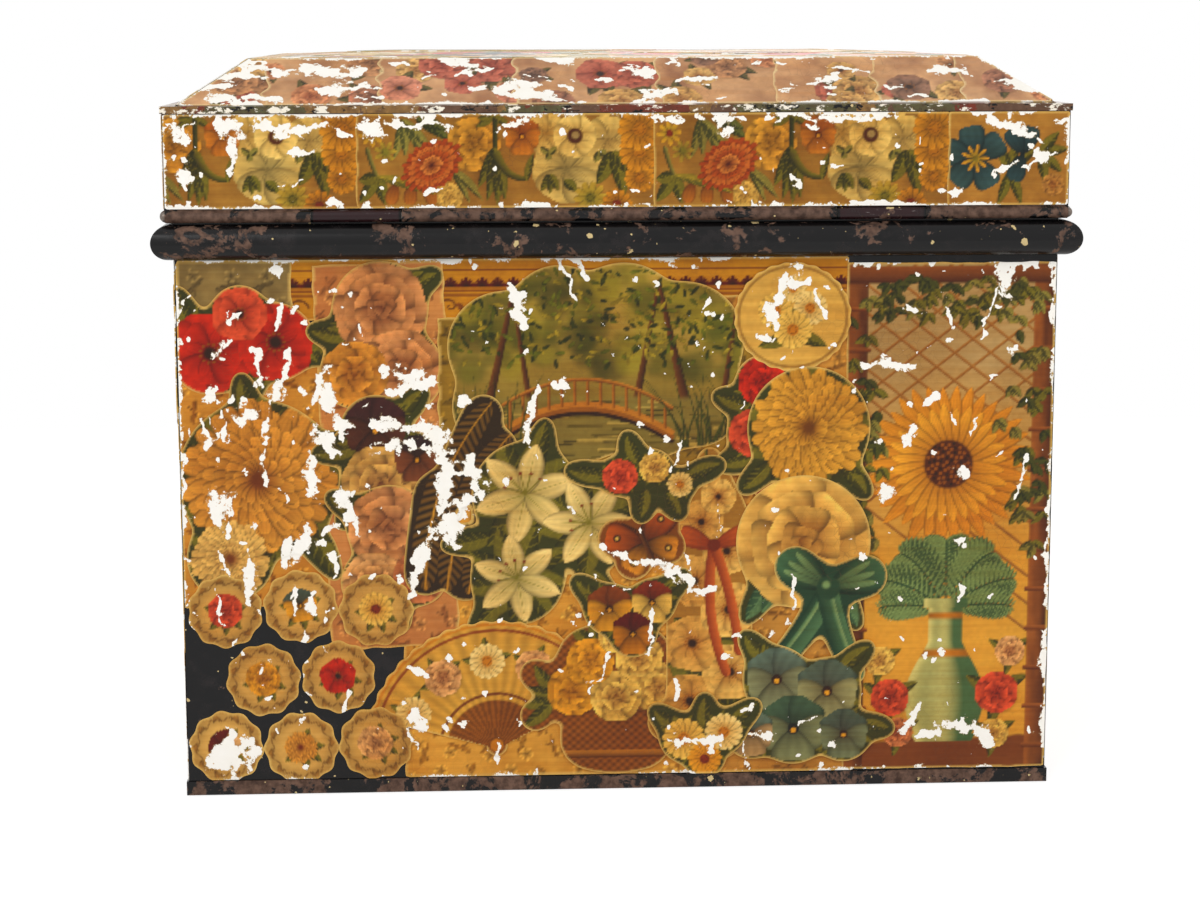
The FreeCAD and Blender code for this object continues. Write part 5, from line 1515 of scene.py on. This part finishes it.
def medallion(kind, colours):
    def draw(p):
        far, turn = np.hypot(p.a, p.b), np.arctan2(p.b, p.a)
        p.rgb[:] = ink("D4B98C") * (1 - 0.25 * smooth(11.5 - far, 5.0))[:, None]
        p.line(far - 13.6 - 0.9 * np.cos(turn * SCALLOPS), 0.32, ink("6E4E26"), 0.75, 0.5)
        for k, way in enumerate(spokes(2 * SCALLOPS)):
            lean = 0.9 if k % 2 else -0.9
            p.petal(*away(0, 0, way, 13.2), way + lean, 3.4, 1.6, ink("5E421E"), ink("B8935A"), 0.3)
        leaves(p, 0, -1, (20, 160, 270, 225, 315), 10.5, 0.42)
        kind(p, 0, 0.5, 8.0, *colours)
    return draw


for k, (spot, kind, colours) in enumerate(MEDALLIONS):
    scalloped = oval_edge(17.0, 17.0, SCALLOPS, 0.035)
    paste(f"medallion_{k}", "back", spot, (18.5, 18.5), scalloped, medallion(kind, colours), 9 * k)
print(len(scraps), "scraps on the back")


# %% [markdown]
# ## The lid's skirt
# A printed flower border was cut into strips and pasted round the lid's skirt, each strip overlapping the last.
# One strip has a carnation, hanging blade leaves, cream pansies and a column of yellow daisies on a tan ground.

# %% Flowers of the skirt
def fronds(p, x, y, tips, width, dark=DEEP_LEAF, light=OLIVE):
    """Leaves from one root to each tip."""
    for tip_x, tip_y in tips:
        p.leaf(x, y, math.atan2(tip_y - y, tip_x - x), math.hypot(tip_x - x, tip_y - y), width, dark, light)


def pale_bloom(p, x, y, r, deep, pale, start):
    """A broad open flower of five loose petals, veined and shaded at the heart."""
    for turn in spokes(5, start):
        p.petal(x, y, turn, r, r * 1.25, deep, pale, 0.3, 0.75, 0.4)
        p.petal(x, y, turn + 0.35, r * 0.7, r * 0.3, deep, pale * 0.94, 0.5, 1.0, 0.4)


def carnation(p, x, y, r):
    """A fringed flower seen from its side, wider along its tilt."""
    for ring, (count, length, tone) in enumerate(((30, 1.0, ink("B25A2C")), (26, 0.8, ink("D08450")),
                                                  (20, 0.58, ink("BE6836")), (12, 0.36, ink("DC9A68")))):
        for k, turn in enumerate(spokes(count, 0.5 * ring * math.tau / count)):
            reach = r * length * (1 - 0.34 * abs(math.sin(turn - 0.6))) * (1 + 0.08 * (k % 2))
            p.petal(x, y, turn, reach, 2.7, ink("6A2610"), tone, 0.2, 1.1, 0.7)


def skirt_flowers(p):
    wash(ink("886836"), ink("B6965A"), 16.0, 15)(p)
    fronds(p, -47, 19, ((-51, 1), (-46, 2), (-37, 0), (-34, 4)), 4.4, ink("30402A"), SAGE)
    fronds(p, -41, 19, ((-25, 9), (-27, 14)), 5.4, DEEP_LEAF, ink("6E7A4C"))
    daisy(p, -61, 12, 5.6, OLIVE, ink("D6B44C"), RUST, 8)
    daisy(p, -55, 4, 5.0, ink("5C6430"), ink("B8A850"), OLIVE, 7)
    p.stroke(bend((-63, 5), (-60, -6), (-57, -10)), 2.2, DEEP_LEAF, 0.2, SAGE)
    fronds(p, -59, -7, ((-55, -20), (-67, -19), (-67, -9)), 6.0)
    for x, lean in ((-50, -0.5), (-43, -0.3), (-36, 0.1)):
        p.petal(x, -10, lean - 1.4, 10, 6.4, ink("6E3E1A"), ink("B8803C"), 0.4, 0.9)
    fronds(p, -59, -7, ((-32, -15),), 4.6, LEAF, ink("A8A048"))
    rose(p, -15, 7.5, 12, ink("86601E"), ink("DCB45E"), 3)
    rose(p, -26, -16, 6, ink("A88850"), ink("DEC88E"), 5)
    fronds(p, -25, -4, ((-13, -13), (-17, -19), (-11, -18)), 3.4, DEEP_LEAF, SAGE)
    carnation(p, -34, -2, 15)
    p.stroke(bend((-5, 20), (-5, 10), (-5.6, 2)), 2.4, DEEP_LEAF, 0.0, LEAF)
    fronds(p, -6, 20, ((-14, 15), (-13, 19), (2, 15)), 3.6)
    for x, y, r, deep, pale, start in ((27, -4, 15, "948C70", "DACCA2", 0.4), (18, 12, 9.5, "AA8E5C", "E6D6A8", 1.0),
                                       (46, 9, 11, "9C8A68", "E2D2A4", 0.2), (31, 11, 9.5, "B09868", "ECDEB4", 0.7)):
        pale_bloom(p, x, y, r, ink(deep), ink(pale), start)
    p.dab(31, 11, 3.6, ink("5A3416"), 1.0)
    p.dab(31.3, 11.4, 1.7, ink("A89C88"), 0.8)
    pansy(p, 7, 11, 8.5, ink("B87830"), ink("CE9444"), ink("5A2A10"))
    fronds(p, -5.6, 6, ((-13, -12), (-9, -18), (-4.5, -20), (-1, -18)), 5.4)
    p.stroke(bend((-5, 3), (0, -9), (9, -8)), 4.4, DEEP_LEAF, 0.5, OLIVE)
    fronds(p, 9, -9, ((12, 3),), 3.6)
    fronds(p, 19.5, 3, ((15, 6), (23, 6), (18, 0)), 3.2, DEEP_LEAF, SAGE)
    fronds(p, 19.5, -6, ((15.5, -14), (19.5, -15), (23.5, -14)), 3.8)
    fronds(p, 26, -9, ((32, -14),), 5.0)
    fronds(p, 42, 4, ((40, -1), (46, 2)), 3.6, DEEP_LEAF, SAGE)
    daisy(p, 38, -17, 7.5, OLIVE, ink("C6B45E"), ink("7A7A34"), 10)
    fronds(p, 48, 4, ((41, -11), (53.5, -17), (61.5, -10)), 7.0)
    daisy(p, 50, -20, 7.0, ink("5E400E"), ink("D2A03C"), RUST, 12)
    for y, r in ((-8, 7.0), (4, 9.5), (14, 10.0)):
        daisy(p, 60.5, y, r, ink("5A3C0C"), ink("DCAA42"), ink("B8862A"), 14)


def blue_flowers(p):
    wash(ink("A07C44"), ink("C2A066"), 14.0, 16)(p)
    leaves(p, 0, -6, (40, 75, 110, 250, 290), 16, 0.3)
    for turn in (35, 100, 165, 230, 300):
        p.petal(-16, 0, math.radians(turn), 15, 12.5, ink("16283C"), ink("3F6488"), 0.25, 0.8)
    for k in range(9):
        p.petal(-16, 0, k * 0.7, 6.5, 1.6, OLIVE, YELLOW, 0.5)
    for turn in (70, 120, 250):
        p.petal(6, 2, math.radians(turn), 13, 9, ink("16283C"), ink("35587C"), 0.3, 0.8)
    leaves(p, 14, 2, (10, 50, 320, 280), 13, 0.4)
    rose(p, 20, -12, 5.0, OCHRE_DEEP, ink("C2A070"), 1)


print("skirt prints ready")

# %% Skirt strips
STRIP, BLUE_STRIP = 135.0, 28.0
STRIP_SPOTS = {"skirt_back": (-186.5, -51.5, 83.5), "skirt_front": (-150, -16, 118),
               "skirt_left": (-80, 54), "skirt_right": (-96, 38)}
strip_high = (skirt_top - SKIRT_FOOT) / 2
strip_v = (skirt_top + SKIRT_FOOT) / 2


def skirt_strip(name, face, u, reach, half, seed, draw, turn=0.0):
    paste(name, face, (u, strip_v), (reach, strip_high + 2), card_edge(half, strip_high + 1, 0.5, seed), draw, turn)


for face, spots in STRIP_SPOTS.items():
    for k, u in enumerate(spots):
        skirt_strip(f"{face}_strip_{k}", face, u, STRIP / 2 + 2, STRIP / 2 + 0.6, k, skirt_flowers)
    end = spots[-1] + STRIP / 2 + BLUE_STRIP
    skirt_strip(f"{face}_blue_end", face, end, BLUE_STRIP + 3, BLUE_STRIP + 0.6, 7, blue_flowers)
skirt_strip("skirt_front_blue_start", "skirt_front", -190.0, BLUE_STRIP + 3, BLUE_STRIP + 0.6, 8, blue_flowers, 180)
print(len(scraps), "scraps so far")


# %% [markdown]
# ## Slopes and top
# The lid's slopes carry pinkish brown blossoms cut close and overlapped. The top, of which the photograph shows
# only a sliver, gets the same scraps as the walls, on the paler varnish of the slopes.

# %% Slopes
SLOPE_TONES = ((PEONY_DEEP, PINK), (ink("6E4A38"), ink("C99C78")), (RUST, ink("D8A07C")),
               (ink("5A3A34"), ink("B58672")), (OCHRE_DEEP, ink("D9B880")), (ink("4E3A34"), ink("9C7A6A")),
               (ink("8E3A30"), ink("C27A6A")))
SLOPE_CUTS = {"slope_back": (-201, -160, -108, -46, 20, 74, 120, 160, 201),
              "slope_front": (-201, -130, -60, 10, 80, 140, 201),
              "slope_left": (-144, -80, -20, 50, 144), "slope_right": (-144, -60, 10, 80, 144)}


def blossom_patch(seed, w, h):
    def draw(p):
        random = np.random.default_rng(seed)
        wash(ink("A07860"), ink("DDB894"), 18.0, seed)(p)
        for k in range(int(w / 5)):
            x, y, r = random.uniform(-w, w), random.uniform(-h, h), random.uniform(6, 12)
            leaves(p, x, y, random.uniform(0, 360, 2), r * 1.6, 0.4, ink("33301C"), ink("70683C"))
            deep, pale = SLOPE_TONES[random.integers(len(SLOPE_TONES))]
            (rose if random.uniform() < 0.7 else poppy)(p, x, y, r, deep, pale, seed + k)
    return draw


for face, cuts in SLOPE_CUTS.items():
    middle = faces[face].high / 2
    for k, (u0, u1) in enumerate(zip(cuts[:-1], cuts[1:])):
        w = (u1 - u0) / 2 + 1.5
        wavy = card_edge(w, middle + 2, 2.4, 60 + k)
        blossoms = blossom_patch(100 + 7 * k + len(face), w, middle)
        paste(f"{face}_patch_{k}", face, ((u0 + u1) / 2, middle), (w + 3, middle + 4), wavy, blossoms)
print(len(scraps), "scraps so far")


# %% [markdown]
# ## The sides that the photograph doesn't show
# They get ground papers, the gold border and bouquets on a staggered grid. A bouquet is a posy whose flowers and
# colours come from a seeded random draw.

# %% Bouquets
BOUQUET_TONES = ((DEEP_RED, RED), (OCHRE_DEEP, OCHRE_PALE), (PEONY_DEEP, PEONY), (OCHRE_DEEP, PALE), (RUST, BLUSH),
                 (DEEP_RED, ROSE))
BOUQUET_FLOWERS = (rose, chrysanthemum, poppy, pansy, daisy)


def bouquet(name, face, at, reach, seed):
    random = np.random.default_rng(seed)
    flowers, sprigs = [], []
    for k in range(5):
        turn = seed + k * math.tau / 4
        out = 0.0 if k == 4 else reach * random.uniform(0.48, 0.6)
        r = reach * (0.46 if k == 4 else random.uniform(0.26, 0.4))
        deep, pale = BOUQUET_TONES[random.integers(len(BOUQUET_TONES))]
        kind = BOUQUET_FLOWERS[random.integers(len(BOUQUET_FLOWERS))]
        pansy_colours = (SLATE * 0.6, (LILAC, YELLOW, SLATE)[random.integers(3)], DEEP_BROWN)
        ring_colours = (deep, pale, int(random.integers(9)))
        colours = {pansy: pansy_colours, daisy: (deep, pale, GOLD)}.get(kind, ring_colours)
        flowers.append((kind, *away(0, 0, turn, out), r, *colours))
        way = math.degrees(turn) + 45
        root = away(0, 0, math.radians(way), 0.4 * reach)
        sprigs.append((*root, way + random.uniform(-25, 25), 0.6 * reach))
    posy(name, face, at, flowers, sprigs)


def spread_bouquets(face, across, up, reach, seed):
    """Bouquets on a staggered grid, each a little off its place."""
    random, sheet = np.random.default_rng(seed), faces[face]
    for row in range(up):
        for column in range(across):
            u = sheet.half * (2 * (column + 0.5 + 0.22 * (-1) ** row) / across - 1) + random.normal(0, 4)
            v = sheet.low + (sheet.high - sheet.low) * (row + 0.5) / up + random.normal(0, 4)
            size = reach * random.uniform(0.85, 1.15)
            bouquet(f"{face}_bouquet_{row}_{column}", face, (u, v), size, seed + 17 * row + column)


for face, across, up, reach, seed in (("front", 5, 3, 40, 300), ("left", 4, 3, 38, 400), ("right", 4, 3, 38, 500),
                                      ("top", 5, 3, 36, 600)):
    sheet = faces[face]
    middle, tall = (sheet.low + sheet.high) / 2, (sheet.high - sheet.low) / 2
    for k in range(4):
        u = sheet.half * (-0.75 + 0.5 * k)
        sprigs = sprigged(*GROUNDS[(k + seed // 100) % 4], 24.0, seed + k)
        ground(f"{face}_sheet_{k}", face, (u, middle), sheet.half / 4 + 2, tall + 1, sprigs)
    if face != "top":
        reach_u = min(137, sheet.half + 2)
        paste(f"{face}_border", face, (0.0, sheet.high - 13.0), (reach_u, 16), card_edge(135, 13.0), gold_border)
    spread_bouquets(face, across, up, reach, seed)
print(len(scraps), "scraps so far")

# %% [markdown]
# A few of the larger pictures go over the bouquets, in other places on each side.

# %% Pictures on the other sides
HANGING = {"front": (("basket", -118, 62, 3), ("fan", 96, 26, -5), ("hollyhock", 172, 118, 2), ("oval", -66, 176, 0),
                     ("butterfly", 28, 126, -20)),
           "left": (("pond", 24, 66, 2), ("oval", -104, 204, 0), ("butterfly", 108, 206, 15)),
           "right": (("trellis", -92, 128, 0), ("basket", 74, 58, -4), ("oval", 98, 212, 0)),
           "top": (("pond", -62, 34, 0), ("fan", 70, -84, 4), ("oval", -120, -66, 0), ("butterfly", 128, 66, 30))}
for face, rows in HANGING.items():
    for picture, u, v, turn in rows:
        paste(f"{face}_{picture}", face, (u, v), *pictures[picture], turn)
print(len(scraps), "scraps in all,", sum(len(piece.data.polygons) for piece in scraps) // 1000, "thousand faces")
